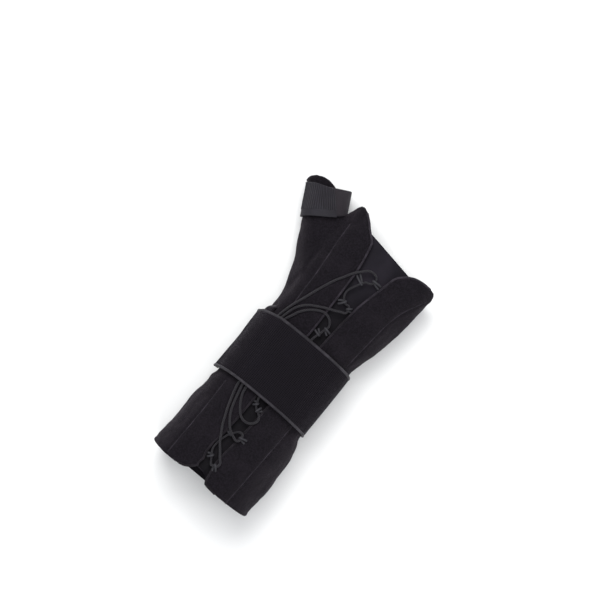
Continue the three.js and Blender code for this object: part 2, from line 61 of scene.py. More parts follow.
# Hand and forearm sleeve: y, left x, right x, top z, underside z.
SLEEVE = [
    (-112, -43.4, 50.0, 70, 0), (-100, -43.1, 49.8, 69.3, 0), (-88, -42.6, 50.1, 68.4, 0),
    (-76, -41.9, 49.7, 67.2, 0), (-64, -41.5, 49.4, 65.8, 0), (-52, -41.1, 49.1, 64.0, 0),
    (-44, -41.0, 47.9, 62.4, 0), (-38, -40.6, 45.9, 61.0, 0), (-34.5, -40.0, 43.9, 59.4, 1.8),
    (-31.5, -39.3, 42.5, 58.4, 2.4), (-16, -39.1, 42.3, 56.8, 2.4), (0, -39.1, 42.1, 55.7, 2.4),
    (16, -39.1, 41.8, 55.0, 2.4), (33.5, -39.1, 41.3, 54.8, 2.4), (36.5, -39.4, 42.0, 54.8, 1.6),
    (40, -39.9, 43.2, 54.8, 0), (46, -40.1, 44.6, 54.8, 0), (54, -40.9, 47.0, 54.6, 0),
    (64, -42.2, 48.5, 54.2, 0), (76, -42.5, 49.8, 53.6, 0), (88, -42.3, 51.0, 52.8, 0),
    (98, -41.4, 52.6, 51.8, 0), (108, -40.3, 53.4, 50.6, 0), (116, -39.3, 54.1, 49.6, 0),
    (124, -38.7, 54.4, 48.6, 0), (132, -38.2, 54.4, 47.6, 0), (139, -38.0, 54.2, 46.8, 0),
]
# Thumb sleeve: along the thumb axis, middle across, half width, underside z, top z.
THUMB = [
    (58, 15.2, 16.8, 3.0, 46.0), (70, 13.9, 19.9, 1.5, 46.0), (82, 12.0, 19.0, 1.0, 43.5),
    (94, 10.1, 17.7, 1.5, 40.5), (106, 8.1, 16.2, 2.2, 37.5), (116, 6.8, 15.0, 3.0, 35.5),
    (124, 6.1, 14.3, 3.6, 34.2), (135, 6.05, 14.25, 3.8, 33.8), (145, 6.05, 14.25, 4.0, 33.5),
    (149, 4.9, 16.0, 3.8, 34.0), (152, 4.4, 16.9, 3.6, 34.3), (158, 4.2, 17.2, 3.6, 34.4),
]
RADIAL_EDGE = [
    (-43, -104.5), (-30, -105.8), (-20, -105), (-12, -103), (-8, -100.5), (-5, -97.5),
    (-3.6, -95.3), (-4.3, -93), (-3.3, -89), (-5, -84), (-5.4, -74), (-3.6, -62), (-3, -48),
    (-3, -36), (-2.8, -20), (-2.5, 10), (-2.3, 36), (-2.6, 48), (-3.1, 58), (-3.6, 68),
    (-4.2, 78), (-4.7, 88), (-5.4, 97), (-6.5, 104), (-8.2, 112), (-10, 119), (-12.4, 121.6),
    (-15, 124), (-18, 126.5), (-22, 130.7), (-27.5, 135.2), (-31.5, 137.2), (-35.2, 137.2),
    (-37.6, 134.5), (-39, 130), (-40, 126),
]
ULNAR_EDGE = [
    (55, 114.5), (53.2, 118.4), (51, 120.4), (46.5, 121.5), (41, 121.6), (37, 121.2), (32, 120),
    (28, 118), (25, 115.7), (22.5, 113.3), (20.6, 111.2), (19, 108), (17.8, 102), (16.6, 96),
    (15.2, 90), (13.3, 82), (11.8, 74), (11.1, 66), (10.4, 58), (10, 50), (9.6, 42), (9.2, 30),
    (8.5, 0), (7.8, -30), (7.4, -46), (6.6, -56), (6.2, -66), (5.2, -76), (5, -85), (5.6, -91),
    (6.6, -96), (7.4, -100.5), (9, -103.4), (13, -104.3), (20, -105), (30, -105.3),
]
# End of the thumb sleeve, across and along the thumb axis.
THUMB_END = [
    (30, 141.8), (20, 142), (13.6, 145.4), (10.8, 148), (7, 151), (2, 152.9), (-4, 153.4),
    (-8.3, 152.1), (-11, 149.3), (-30, 147.3),
]
# The palm's end: z and y. By the index finger it ends further on, below the panel's lobe.
PALM_END = [(-9, 107), (0, 108), (12, 112.5), (22, 118.5), (44, 143), (60, 160)]
LOBE_REACH = 10.0
TONGUE = [
    (-98, -13, 17), (-44, -14, 18), (30, -14, 20), (64, -15, 22), (104, -19, 30), (122, -22, 33),
]
# Lace loops: x, y, direction to the panel in degrees, length, lift of the lace's middle.
LOOPS = {
    "loop_ulnar_1": (9.5, 97.0, -8, 6.6, 0.1),
    "loop_radial_1": (2.9, 90.0, 148, 7.8, 0.1),
    "loop_radial_2": (1.8, 71.4, 222, 5.3, 0.1),
    "loop_ulnar_2": (7.8, 68.2, 20, 2.8, 0.1),
    "loop_ulnar_3": (4.3, 45.6, -24, 4.9, 0.1),
    "loop_radial_3": (2.7, 39.4, 150, 4.4, 0.1),
    "loop_radial_4": (0.4, -31.1, 205, 2.8, 0.3),
    "loop_ulnar_4": (4.4, -35.4, 56, 3.6, 0.3),
    "loop_ulnar_5": (8.2, -59.2, 0, 4.6, 2.7),
    "loop_radial_5": (-0.1, -61.6, 143, 2.8, -1.6),
    "loop_radial_6": (-0.9, -82.6, 213, 3.5, -0.4),
    "loop_ulnar_6": (6.2, -87.4, -62, 4.4, 2.7),
}
# Laces: x, y and, where it isn't LACE_LIFT, the lift of the lace's middle.
LACE_LIFT = 1.5
LACES = {
    "lace_distal": [
        (-30.6, 24, 1.6), (-30, 31), (-27.7, 41.8), (-24.3, 51.8), (-21.2, 61), (-18.2, 69.4),
        (-14.3, 78.7), (-10.5, 85.6), (-6.7, 92.5), (-2.8, 97.1, 1.3), (1, 100.9, 1.0),
        (4.8, 102.0, 0.7), (8.2, 101.2, 0.3), (9.8, 99.2, 0.1), (9.5, 97.0, 0.1), (9.2, 94.9, 0.1),
        (7.4, 93.7, 0.1), (4.9, 92.8, 0.1), (2.9, 90.0, 0.1), (1.6, 87.7, 0.1), (0, 84.5, 0.1),
        (-1.5, 81, 0.1), (-2, 78, 0.1), (-1.4, 75, 0.1), (-0.2, 72.9, 0.1), (1.8, 71.3, 0.1),
        (3.6, 70.2, 0.1), (5.6, 70.6, 0.1), (7.2, 70.0, 0.1), (7.8, 68.2, 0.1), (8.5, 66.2, 0.1),
        (7.6, 64.6, 0.6), (4.8, 63.4, 0.9), (1, 61.4, 1.3), (-3.2, 59.5), (-6.7, 57.9), (-12, 55),
        (-16.6, 52.2), (-20.5, 48.7), (-24, 43.5), (-25.8, 38), (-27.2, 31.5), (-27.6, 24, 1.6),
    ],
    "lace_middle": [
        (-24.4, 24, 1.6), (-24.4, 31.5), (-22.2, 37.2), (-19.7, 43), (-15.9, 48), (-12, 51.4),
        (-7.4, 54.1), (-3.6, 54.9), (0.2, 54.1, 1.1), (3.4, 51.6, 0.6), (5.0, 48.2, 0.2),
        (4.3, 45.6, 0.1), (3.6, 43.4, 0.1), (3.3, 41.4, 0.1), (2.7, 39.4, 0.1), (1.9, 37.1, 0.3),
        (1.4, 34.6, 0.9), (1.1, 31.5), (0.8, 22, 1.6), (-0.4, 0, 1.6), (-2.0, -18, 1.6),
        (-1.8, -25.6), (-0.6, -28.9, 0.5), (0.4, -31.1, 0.2), (1.4, -33.1, 0.1), (2.8, -34.5, 0.4),
        (4.4, -35.4, 0.2), (6.0, -36.3, 0.3), (8.5, -38.3, 1.6), (9.4, -41, 1.6),
        (8.2, -44.0, 1.6), (5, -46.6, 1.4), (1, -47.3, 1.4), (-3, -45.9), (-6.3, -42.9),
        (-10, -38), (-12.7, -32.7), (-14, -27), (-14.2, -20, 1.6),
    ],
    "lace_proximal": [
        (-17.4, -20, 1.6), (-17.4, -27), (-16.3, -31.3), (-14.2, -39.3), (-11.7, -46.7, 1.6),
        (-8, -53.0, 1.8), (-3.3, -58.3, 2.1), (0, -60.4, 2.2), (3, -61.7, 2.2), (6, -62.6, 2.6),
        (8.0, -61.6, 2.7), (8.2, -59.2, 2.7), (7.9, -56.9, 2.6), (5.9, -55.7, 1.9),
        (3.7, -56.6, 0.6), (2.2, -58.2, -0.7), (1.0, -60.0, -1.6), (-0.1, -61.6, -1.8),
        (-1.2, -63.2, -1.8), (-2.2, -66.0, -1.5), (-3.3, -70, -1.4), (-3.8, -74, -1.3),
        (-3.6, -78, -1.0), (-2.4, -80.6, -0.5), (-0.9, -82.6, -0.4), (0.4, -84.5, -0.2),
        (1.8, -86.6, 0.6), (3.7, -88.4, 2.2), (6.2, -87.4, 2.7), (8.3, -85.9, 2.7),
        (7.9, -83.2, 2.2), (4.9, -79.9, 1.6), (1.7, -75.9), (-2.3, -71.3), (-5.7, -66),
        (-9.3, -60), (-12.5, -52.7), (-15, -46.7), (-17.3, -40), (-19.2, -34), (-20.6, -27.5),
        (-20.8, -20, 1.6),
    ],
}
# Sewn lines on the back of the sleeve, in plan: points, depth, half width.
SEAMS = {
    "ulnar_forearm": ([(32.5, -26), (32, -50), (31.4, -80), (31, -105)], 0.6, 1.3),
    "radial_forearm": ([(-29, -33), (-28, -60), (-28, -103)], 0.5, 1.3),
    "ulnar_hand": (
        [(35, 33), (36, 50), (37, 65), (38, 78), (40, 88), (43, 97), (46, 103), (50, 111)],
        0.6, 1.3,
    ),
    "radial_hand": (
        [(-33, 120), (-31.5, 100), (-30.5, 92), (-29.5, 82), (-28.5, 72), (-28, 60), (-27, 45)],
        0.5, 1.3,
    ),
}
# Creases at the thumb web, in the same form.
CREASES = [
    ([(-39, 92), (-38.5, 84), (-38, 75)], 1.1, 2.2),
    ([(-36.5, 70), (-38, 62), (-38, 50)], 0.9, 2.4),
    ([(-44, 88), (-41, 100), (-40, 112)], 1.0, 2.4),
]


# Curves and tables.

def smooth_table(table):
    """Monotone cubic through the rows of a table, as a function of its first column."""
    data = np.array(table, float)
    xs = data[:, 0]
    ys = data[:, 1:]
    h = np.diff(xs)
    d = np.diff(ys, axis=0) / h[:, None]
    m = np.zeros_like(ys)
    m[0] = d[0]
    m[-1] = d[-1]
    w1 = (2 * h[1:] + h[:-1])[:, None]
    w2 = (h[1:] + 2 * h[:-1])[:, None]
    with np.errstate(divide="ignore", invalid="ignore"):
        mean = (w1 + w2) / (w1 / d[:-1] + w2 / d[1:])
    m[1:-1] = np.where(d[:-1] * d[1:] > 0, mean, 0)

    def at(v):
        v = np.clip(np.asarray(v, float), xs[0], xs[-1])
        i = np.clip(np.searchsorted(xs, v) - 1, 0, len(h) - 1)
        t = ((v - xs[i]) / h[i])[..., None]
        hh = h[i][..., None]
        return (
            (2 * t**3 - 3 * t**2 + 1) * ys[i]
            + (t**3 - 2 * t**2 + t) * hh * m[i]
            + (3 * t**2 - 2 * t**3) * ys[i + 1]
            + (t**3 - t**2) * hh * m[i + 1]
        )

    return at


sleeve_row = smooth_table(SLEEVE)
thumb_row = smooth_table(THUMB)
tongue_row = smooth_table(TONGUE)


def run_lengths(points):
    """The length along a path at each of its points."""
    return np.concatenate([[0], np.cumsum(np.linalg.norm(np.diff(points, axis=0), axis=1))])


def unit(vectors):
    return vectors / (np.linalg.norm(vectors, axis=-1)[..., None] + 1e-12)


def bell(value, middle, width):
    return np.exp(-(((value - middle) / width) ** 2))


def rise(value, middle, softness):
    """0 well below the middle value and 1 well above it."""
    return 1 / (1 + np.exp((middle - value) / softness))


def catmull(points, step):
    """Evenly spaced points on a centripetal Catmull-Rom curve through the given ones."""
    p = np.array(points, float)
    first = 2 * p[0] - p[1]
    last = 2 * p[-1] - p[-2]
    p = np.vstack([first, p, last])
    fine = []
    for i in range(1, len(p) - 2):
        near = p[i - 1:i + 3]
        gaps = np.linalg.norm(np.diff(near, axis=0), axis=1)
        at = np.concatenate([[0], np.cumsum(np.sqrt(np.maximum(gaps, 1e-6)))])
        t = np.linspace(at[1], at[2], 24, endpoint=False)[:, None]

        def between(a, b, j, k):
            return (at[k] - t) / (at[k] - at[j]) * a + (t - at[j]) / (at[k] - at[j]) * b

        a1, a2, a3 = (between(near[j], near[j + 1], j, j + 1) for j in range(3))
        b1, b2 = between(a1, a2, 0, 2), between(a2, a3, 1, 3)
        fine.append(between(b1, b2, 1, 2))
    fine = np.vstack(fine + [p[-2:-1]])
    return resample(fine, step)


def resample(points, step):
    length = run_lengths(points)
    count = max(2, int(round(length[-1] / step)) + 1)
    at = np.linspace(0, length[-1], count)
    return np.stack([np.interp(at, length, points[:, k]) for k in range(points.shape[1])], 1)


def power(c):
    return np.sign(c) * np.abs(c) ** (2 / POWER)


def section_sizes(y):
    """Left and right x, then top, underside and middle z, of the sleeve's section at y."""
    left, right, top, low = np.moveaxis(sleeve_row(y), -1, 0)
    return left, right, top, low, low + LOW_PART * (top - low)


def sleeve_point(y, angle, off):
    """Points of the sleeve's sections; angle 90 degrees is the top."""
    left, right, top, low, middle = section_sizes(y)
    x = (left + right) / 2 + ((right - left) / 2 + off) * power(np.cos(angle))
    z = middle + (top - middle + off) * power(np.sin(angle))
    return np.stack([x, y + 0 * x, np.maximum(z, low - off)], -1)


def top_z(x, y, off=0.0):
    """Height of the sleeve's back at x, y."""
    left, right, top, _, middle = section_sizes(y)
    share = np.minimum(1, np.abs(x - (left + right) / 2) / ((right - left) / 2 + off))
    return middle + (top - middle + off) * (1 - share**POWER) ** (1 / POWER)


def thumb_plan(n, u):
    """Plan place of a point n across and u along the thumb axis."""
    return n * math.cos(LEAN) - u * math.sin(LEAN), n * math.sin(LEAN) + u * math.cos(LEAN)


def thumb_point(u, angle, off):
    across, half, low, top = np.moveaxis(thumb_row(u), -1, 0)
    n = across + (half + off) * power(np.cos(angle))
    z = (low + top) / 2 + ((top - low) / 2 + off) * power(np.sin(angle))
    x, y = thumb_plan(n, u)
    return np.stack([x, y, z], -1)


# Distances.

def line_distance(px, py, line):
    """Distance from plan places to a line of straight runs."""
    pts = np.array(line, float)
    best = np.full(px.shape, 1e9)
    for (ax, ay), (bx, by) in zip(pts[:-1], pts[1:]):
        ex, ey = bx - ax, by - ay
        t = np.clip(((px - ax) * ex + (py - ay) * ey) / (ex * ex + ey * ey + 1e-12), 0, 1)
        best = np.minimum(best, (px - ax - t * ex) ** 2 + (py - ay - t * ey) ** 2)
    return np.sqrt(best)


def outline_distance(px, py, outline):
    """Signed distance to a closed outline, negative inside."""
    poly = np.array(list(outline) + [outline[0]], float)
    inside = np.zeros(px.shape, bool)
    for (ax, ay), (bx, by) in zip(poly[:-1], poly[1:]):
        if ay != by:
            crossing = (ay > py) != (by > py)
            inside ^= crossing & (px < (bx - ax) * (py - ay) / (by - ay) + ax)
    distance = line_distance(px, py, poly)
    return np.where(inside, -distance, distance)


def soft_max(a, b, k):
    h = np.maximum(k - np.abs(a - b), 0) / k
    return np.maximum(a, b) + h * h * k / 4


def soft_min(a, b, k):
    return -soft_max(-a, -b, k)


def section_distance(x, z, cx, a, cz, b):
    """Close to the distance from a superellipse section."""
    big_x = np.abs(x - cx) / a + 1e-6
    big_z = np.abs(z - cz) / b + 1e-6
    g = (big_x**POWER + big_z**POWER) ** (1 / POWER)
    gx = (big_x / g) ** (POWER - 1) / a
    gz = (big_z / g) ** (POWER - 1) / b
    return (g - 1) / np.sqrt(gx * gx + gz * gz)


def section_turn(x, y, z):
    """The angle round the hand's section at which a place lies, 0 on the little finger side."""
    left, right, top, _, middle = section_sizes(y)
    across = (x - (left + right) / 2) / (right - left) * 2
    up = (z - middle) / (top - middle)
    turn = np.arctan2(
        np.sign(up) * np.abs(up) ** (POWER / 2), np.sign(across) * np.abs(across) ** (POWER / 2)
    )
    return turn % (2 * np.pi)


BACK = (
    [(62, 165), (62, 114)] + ULNAR_EDGE + [(62, RIM_Y), (62, -125), (-60, -125), (-60, -104.5)]
    + RADIAL_EDGE + [(-41.6, 124), (-45, 131), (-50, 140), (-60, 165)]
)
THUMB_CUT = [thumb_plan(n, u) for n, u in THUMB_END + [(-30, 190), (30, 190)]]
PALM_PLAN = [(-41, 165), (-41, 121), (-39, 117), (-36, 112), (-34, 106), (62, 106), (62, 165)]
# Up to this x, and how softly, the palm's end reaches LOBE_REACH further on.
LOBE_X, LOBE_SOFT = -24, 2.5


def plan_parts(px, py):
    """The terms of the sleeve's field that depend on the plan place alone."""
    channel = 0
    for line, depth, width in list(SEAMS.values()) + CREASES:
        channel = channel + depth * bell(line_distance(px, py, line), 0, width)
    # The panels swell a little between their sewn lines and their edges.
    wave = (
        0.35 * np.sin(px / 5.1 + py / 23.0) * np.sin(py / 9.3 - px / 31.0)
        + 0.25 * np.sin(px / 3.3 - py / 7.9 + 1.7) * np.sin(py / 13.7 + 0.6)
    )
    return {
        "channel": channel,
        "wave": wave,
        "back": outline_distance(px, py, BACK),
        "thumb_cut": outline_distance(px, py, THUMB_CUT),
        "palm_plan": outline_distance(px, py, PALM_PLAN),
        "reach": LOBE_REACH * (1 - rise(px, LOBE_X, LOBE_SOFT)),
    }


# Where the thumb sleeve starts along its axis, and how softly it starts.
THUMB_FROM, THUMB_SOFT = 58, 3
UNDER_SOFT, FLOOR_SOFT = 1.5, 1.0
# How widely hand and thumb blend, how much wider beyond WEB_U along the thumb, and how softly.
WEB_BLEND, WEB_MORE, WEB_U, WEB_SOFT = 9, 5, 114, 2.5
# Height and softness of the change from the plain underside to the back's channels and waves.
BACK_Z, BACK_SOFT = 30, 3
WAVE_Z, WAVE_SOFT = 7, 1.5
# The strap's edges for the puckers beside it, and for each set: height, place, reach, count.
STRAP_EDGE_HIGH, STRAP_EDGE_LOW = 34, -31
PUCKER_NEAR = (0.28, 3.5, 6.5, 17)
PUCKER_FAR = (0.16, 9, 9, 9)


def puckers(y, angle):
    away = np.where(y > 0, y - STRAP_EDGE_HIGH, STRAP_EDGE_LOW - y)
    near, near_at, near_reach, near_count = PUCKER_NEAR
    far, far_at, far_reach, far_count = PUCKER_FAR
    turn = near_count * angle + 1.3 * np.sin(y / 6)
    height = near * bell(away, near_at, near_reach) * np.sin(turn)
    height = height + far * bell(away, far_at, far_reach) * np.sin(far_count * angle + 2.1)
    return np.where(away > -3, height, 0)


def outer_distance(x, y, z, plan):
    """Signed distance to the sleeve's outer face, with its channels, waves, puckers and folds."""
    left, right, top, low, middle = section_sizes(y)
    hand = section_distance(x, z, (left + right) / 2, (right - left) / 2, middle, top - middle)
    hand = soft_max(hand, low - z, UNDER_SOFT)
    n = x * math.cos(LEAN) + y * math.sin(LEAN)
    u = -x * math.sin(LEAN) + y * math.cos(LEAN)
    across, half, t_low, t_top = np.moveaxis(thumb_row(u), -1, 0)
    thumb = section_distance(n, z, across, half, (t_low + t_top) / 2, (t_top - t_low) / 2)
    thumb = soft_max(thumb, THUMB_FROM - u, THUMB_SOFT)
    blend = WEB_BLEND + WEB_MORE * rise(u, WEB_U, WEB_SOFT)
    outer = soft_max(soft_min(hand, thumb, blend), -z, FLOOR_SOFT)
    angle = np.arctan2(z - middle, x - (left + right) / 2)
    swell = plan["wave"] + puckers(y, angle) + fold_offset(x, y, z)
    return outer + plan["channel"] * rise(z, BACK_Z, BACK_SOFT) - swell * rise(z, WAVE_Z, WAVE_SOFT)


palm_row = smooth_table(PALM_END)
SLEEVE_END_Y = -105.6
PALM_SLOPE = 0.8


def sleeve_distance(x, y, z, plan):
    """Signed distance to the sleeve's cloth: a wall inside the outer face, cut at its ends."""
    outer = outer_distance(x, y, z, plan)
    palm_end = PALM_SLOPE * (palm_row(z)[..., 0] + plan["reach"] - y)
    palm = -np.maximum(palm_end, plan["palm_plan"])
    ends = np.maximum(np.maximum(SLEEVE_END_Y - y, -plan["thumb_cut"]), palm)
    outer = outer + HEM_DEPTH * bell(ends, -HEM_INSET, HEM_HALF)
    shell = np.abs(outer + WALL / 2) - WALL / 2
    shell = soft_max(shell, -np.maximum(plan["back"], SPLIT_Z - z), EDGE_ROUND)
    return soft_max(shell, ends, END_ROUND)


# Meshes.

def surface_nets(field, low, step):
    """Quads on the zero surface of a grid of distances, negative inside."""
    inside = field < 0
    n0, n1, n2 = field.shape
    count = np.zeros((n0 - 1, n1 - 1, n2 - 1), np.int8)
    corners = [(a, b, c) for a in (0, 1) for b in (0, 1) for c in (0, 1)]
    for a, b, c in corners:
        count += inside[a:n0 - 1 + a, b:n1 - 1 + b, c:n2 - 1 + c]
    mixed = (count > 0) & (count < 8)
    cells = np.argwhere(mixed)
    number = np.full(mixed.shape, -1, np.int64)
    number[mixed] = np.arange(len(cells))
    total = np.zeros((len(cells), 3))
    hits = np.zeros(len(cells))
    for a in corners:
        for axis in range(3):
            if a[axis]:
                continue
            b = list(a)
            b[axis] = 1
            va = field[tuple((cells + a).T)]
            vb = field[tuple((cells + b).T)]
            cross = (va < 0) != (vb < 0)
            t = np.where(cross, va / np.where(cross, va - vb, 1), 0)
            place = cells + np.array(a, float)
            place[:, axis] += t
            total[cross] += place[cross]
            hits += cross
    verts = total / hits[:, None] * step + low
    quads = []
    for axis in range(3):
        p, q = (axis + 1) % 3, (axis + 2) % 3
        a = np.take(inside, range(field.shape[axis] - 1), axis)
        b = np.take(inside, range(1, field.shape[axis]), axis)
        at = np.argwhere(a != b)
        keep = (at[:, p] > 0) & (at[:, q] > 0)
        keep &= (at[:, p] < field.shape[p] - 1) & (at[:, q] < field.shape[q] - 1)
        at = at[keep]
        ring = []
        for dp, dq in ((-1, -1), (0, -1), (0, 0), (-1, 0)):
            cell = at.copy()
            cell[:, p] += dp
            cell[:, q] += dq
            ring.append(number[tuple(cell.T)])
        ring = np.stack(ring, 1)
        out = a[tuple(at.T)]
        ring[~out] = ring[~out][:, ::-1]
        quads.append(ring)
    return verts, np.vstack(quads)


def new_object(name, verts, faces, uv=None):
    """A smooth mesh object; verts in millimetres, uv per vertex in millimetres."""
    mesh = bpy.data.meshes.new(name)
    mesh.from_pydata((np.asarray(verts) * MM).tolist(), [], [list(face) for face in faces])
    mesh.update()
    mesh.validate()
    if uv is not None:
        layer = mesh.uv_layers.new(name="UVMap")
        index = np.zeros(len(mesh.loops), np.int64)
        mesh.loops.foreach_get("vertex_index", index)
        layer.data.foreach_set("uv", uv[index].astype(np.float32).ravel())
    mesh.polygons.foreach_set("use_smooth", [True] * len(mesh.polygons))
    mesh.update()
    obj = bpy.data.objects.new(name, mesh)
    bpy.context.scene.collection.objects.link(obj)
    return obj


def loft(rings, closed_ends=True):
    """Quads through closed rings of points, with fans at the ends."""
    rings = np.asarray(rings, float)
    n, m, _ = rings.shape
    verts = rings.reshape(-1, 3)
    i, j = np.meshgrid(np.arange(n - 1), np.arange(m), indexing="ij")
    a = i * m + j
    b = i * m + (j + 1) % m
    faces = np.stack([a, b, b + m, a + m], -1).reshape(-1, 4).tolist()
    if closed_ends:
        verts = np.vstack([verts, rings[0].mean(0), rings[-1].mean(0)])
        for start, hub, flip in ((0, n * m, True), ((n - 1) * m, n * m + 1, False)):
            for k in range(m):
                a, b = start + k, start + (k + 1) % m
                faces.append([hub, b, a] if flip else [hub, a, b])
    return verts, faces


def facing_out(verts, faces):
    """The faces turned so that the closed body's volume is positive."""
    v = np.asarray(verts)
    volume = 0.0
    for f in faces:
        for k in range(1, len(f) - 1):
            volume += np.dot(v[f[0]], np.cross(v[f[k]], v[f[k + 1]]))
    return faces if volume > 0 else [list(f)[::-1] for f in faces]


def lofted(name, rings, uv=None):
    """A closed body through rings of points, with uv for each of them."""
    verts, faces = loft(rings)
    if uv is not None:
        uv = np.asarray(uv, float).reshape(-1, 2)
        sides = rings.shape[1]
        uv = np.vstack([uv, uv[:sides].mean(0), uv[-sides:].mean(0)])
    return new_object(name, verts, facing_out(verts, faces), uv)


def tube_rings(path, radius, sides):
    """Rings round a path, and their UVs: length along it and share of a turn."""
    path = np.asarray(path, float)
    along = unit(np.gradient(path, axis=0))
    side = unit(np.cross([0.0, 0.0, 1.0], along))
    upper = np.cross(along, side)
    turn = np.linspace(0, 2 * np.pi, sides, endpoint=False)[None, :, None]
    radius = np.broadcast_to(np.asarray(radius, float), (len(path),))[:, None, None]
    outward = np.cos(turn) * side[:, None] + np.sin(turn) * upper[:, None]
    uv = np.broadcast_arrays(run_lengths(path)[:, None], turn[..., 0] / (2 * np.pi))
    return path[:, None] + radius * outward, np.stack(uv, -1)


# Folds of the cloth, simulated.

FOLD_COLUMNS, FOLD_ROWS = 120, 100
FOLD_Y = (-104.0, 134.0)
FOLD_CAP = 0.8
FOLD_SHARE = 0.42
CLOTH = {
    "quality": 6, "mass": 0.05, "tension_stiffness": 20, "compression_stiffness": 20,
    "shear_stiffness": 8, "bending_stiffness": 0.6, "shrink_min": -0.035, "use_pressure": True,
    "uniform_pressure_force": 2.5,
}
FRAMES = 22
# Where the cloth is held: half width under the strap, height below, and the opening's x and z.
HELD_HALF, HELD_Z = 36, 9
OPENING_X, OPENING_Z = (-7, 11), 30


def held_share(points, rows):
    """1 where the cloth is held: under the strap, at the ends, below and along the opening."""
    x, _, z = np.moveaxis(points, -1, 0)
    strap = np.clip((HELD_HALF - np.abs(rows - 1)) / 5, 0, 1)
    ends = np.clip(1 - (np.minimum(rows - FOLD_Y[0], FOLD_Y[1] - rows) - 1) / 3, 0, 1)
    under = np.clip((HELD_Z - z) / 5, 0, 1)
    opening = (x > OPENING_X[0]) & (x < OPENING_X[1]) & (z > OPENING_Z)
    return np.maximum(np.maximum(np.maximum(strap, ends)[:, None], under), opening)


def simulate_folds():
    """Offsets of the hand's and forearm's face, from cloth cinched by the strap."""
    rows = np.linspace(*FOLD_Y, FOLD_ROWS)
    turns = np.linspace(0, 2 * np.pi, FOLD_COLUMNS, endpoint=False)
    grid = sleeve_point(rows[:, None] + 0 * turns, turns[None] + 0 * rows[:, None], 0)
    along = np.gradient(grid, axis=0)
    around = np.roll(grid, -1, 1) - np.roll(grid, 1, 1)
    normal = unit(np.cross(around, along))
    verts, faces = loft(grid, closed_ends=False)
    cloth = new_object("fold_cloth", verts, faces)
    held = cloth.vertex_groups.new(name="held")
    for index, weight in enumerate(held_share(grid, rows).ravel()):
        held.add([index], float(weight), "REPLACE")
    modifier = cloth.modifiers.new("Cloth", "CLOTH")
    settings = modifier.settings
    settings.vertex_group_mass = "held"
    for name, value in CLOTH.items():
        setattr(settings, name, value)
    settings.effector_weights.gravity = 0
    modifier.collision_settings.use_collision = False
    modifier.point_cache.frame_end = FRAMES
    scene = bpy.context.scene
    for number in range(1, FRAMES + 1):
        scene.frame_set(number)
    settled = cloth.evaluated_get(bpy.context.evaluated_depsgraph_get()).to_mesh()
    place = np.zeros(len(verts) * 3)
    settled.vertices.foreach_get("co", place)
    moved = place.reshape(grid.shape) / MM - grid
    bpy.data.objects.remove(cloth)
    scene.frame_set(1)
    offset = np.sum(moved * normal, 2)
    offset = np.where(np.isfinite(offset), offset, 0)
    return FOLD_CAP * np.tanh(FOLD_SHARE * offset / FOLD_CAP)


FOLDS = simulate_folds()


def fold_offset(x, y, z):
    """The simulated offset at any place, taken straight in or out from the section's face."""
    column = section_turn(x, y, z) / (2 * np.pi) * FOLD_COLUMNS
    row = (y - FOLD_Y[0]) / (FOLD_Y[1] - FOLD_Y[0]) * (FOLD_ROWS - 1)
    row = np.clip(row, 0, FOLD_ROWS - 1.001)
    c0 = np.floor(column).astype(int) % FOLD_COLUMNS
    r0 = np.floor(row).astype(int)
    tc = column - np.floor(column)
    tr = row - r0
    c1 = (c0 + 1) % FOLD_COLUMNS
    near = FOLDS[r0, c0] * (1 - tc) + FOLDS[r0, c1] * tc
    far = FOLDS[r0 + 1, c0] * (1 - tc) + FOLDS[r0 + 1, c1] * tc
    return near * (1 - tr) + far * tr


def seen_z(x, y):
    """Height of the sleeve's modelled back at plan places, with its waves and channels."""
    plan = plan_parts(x, y)
    z = top_z(x, y)
    for _ in range(4):
        z = z - outer_distance(x, y, z, plan)
    return z


# Materials.

def linear(r, g, b):
    """sRGB 0-255 to linear."""
    out = []
    for v in (r, g, b):
        v = v / 255
        out.append(v / 12.92 if v <= 0.04045 else ((v + 0.055) / 1.055) ** 2.4)
    return (*out, 1.0)


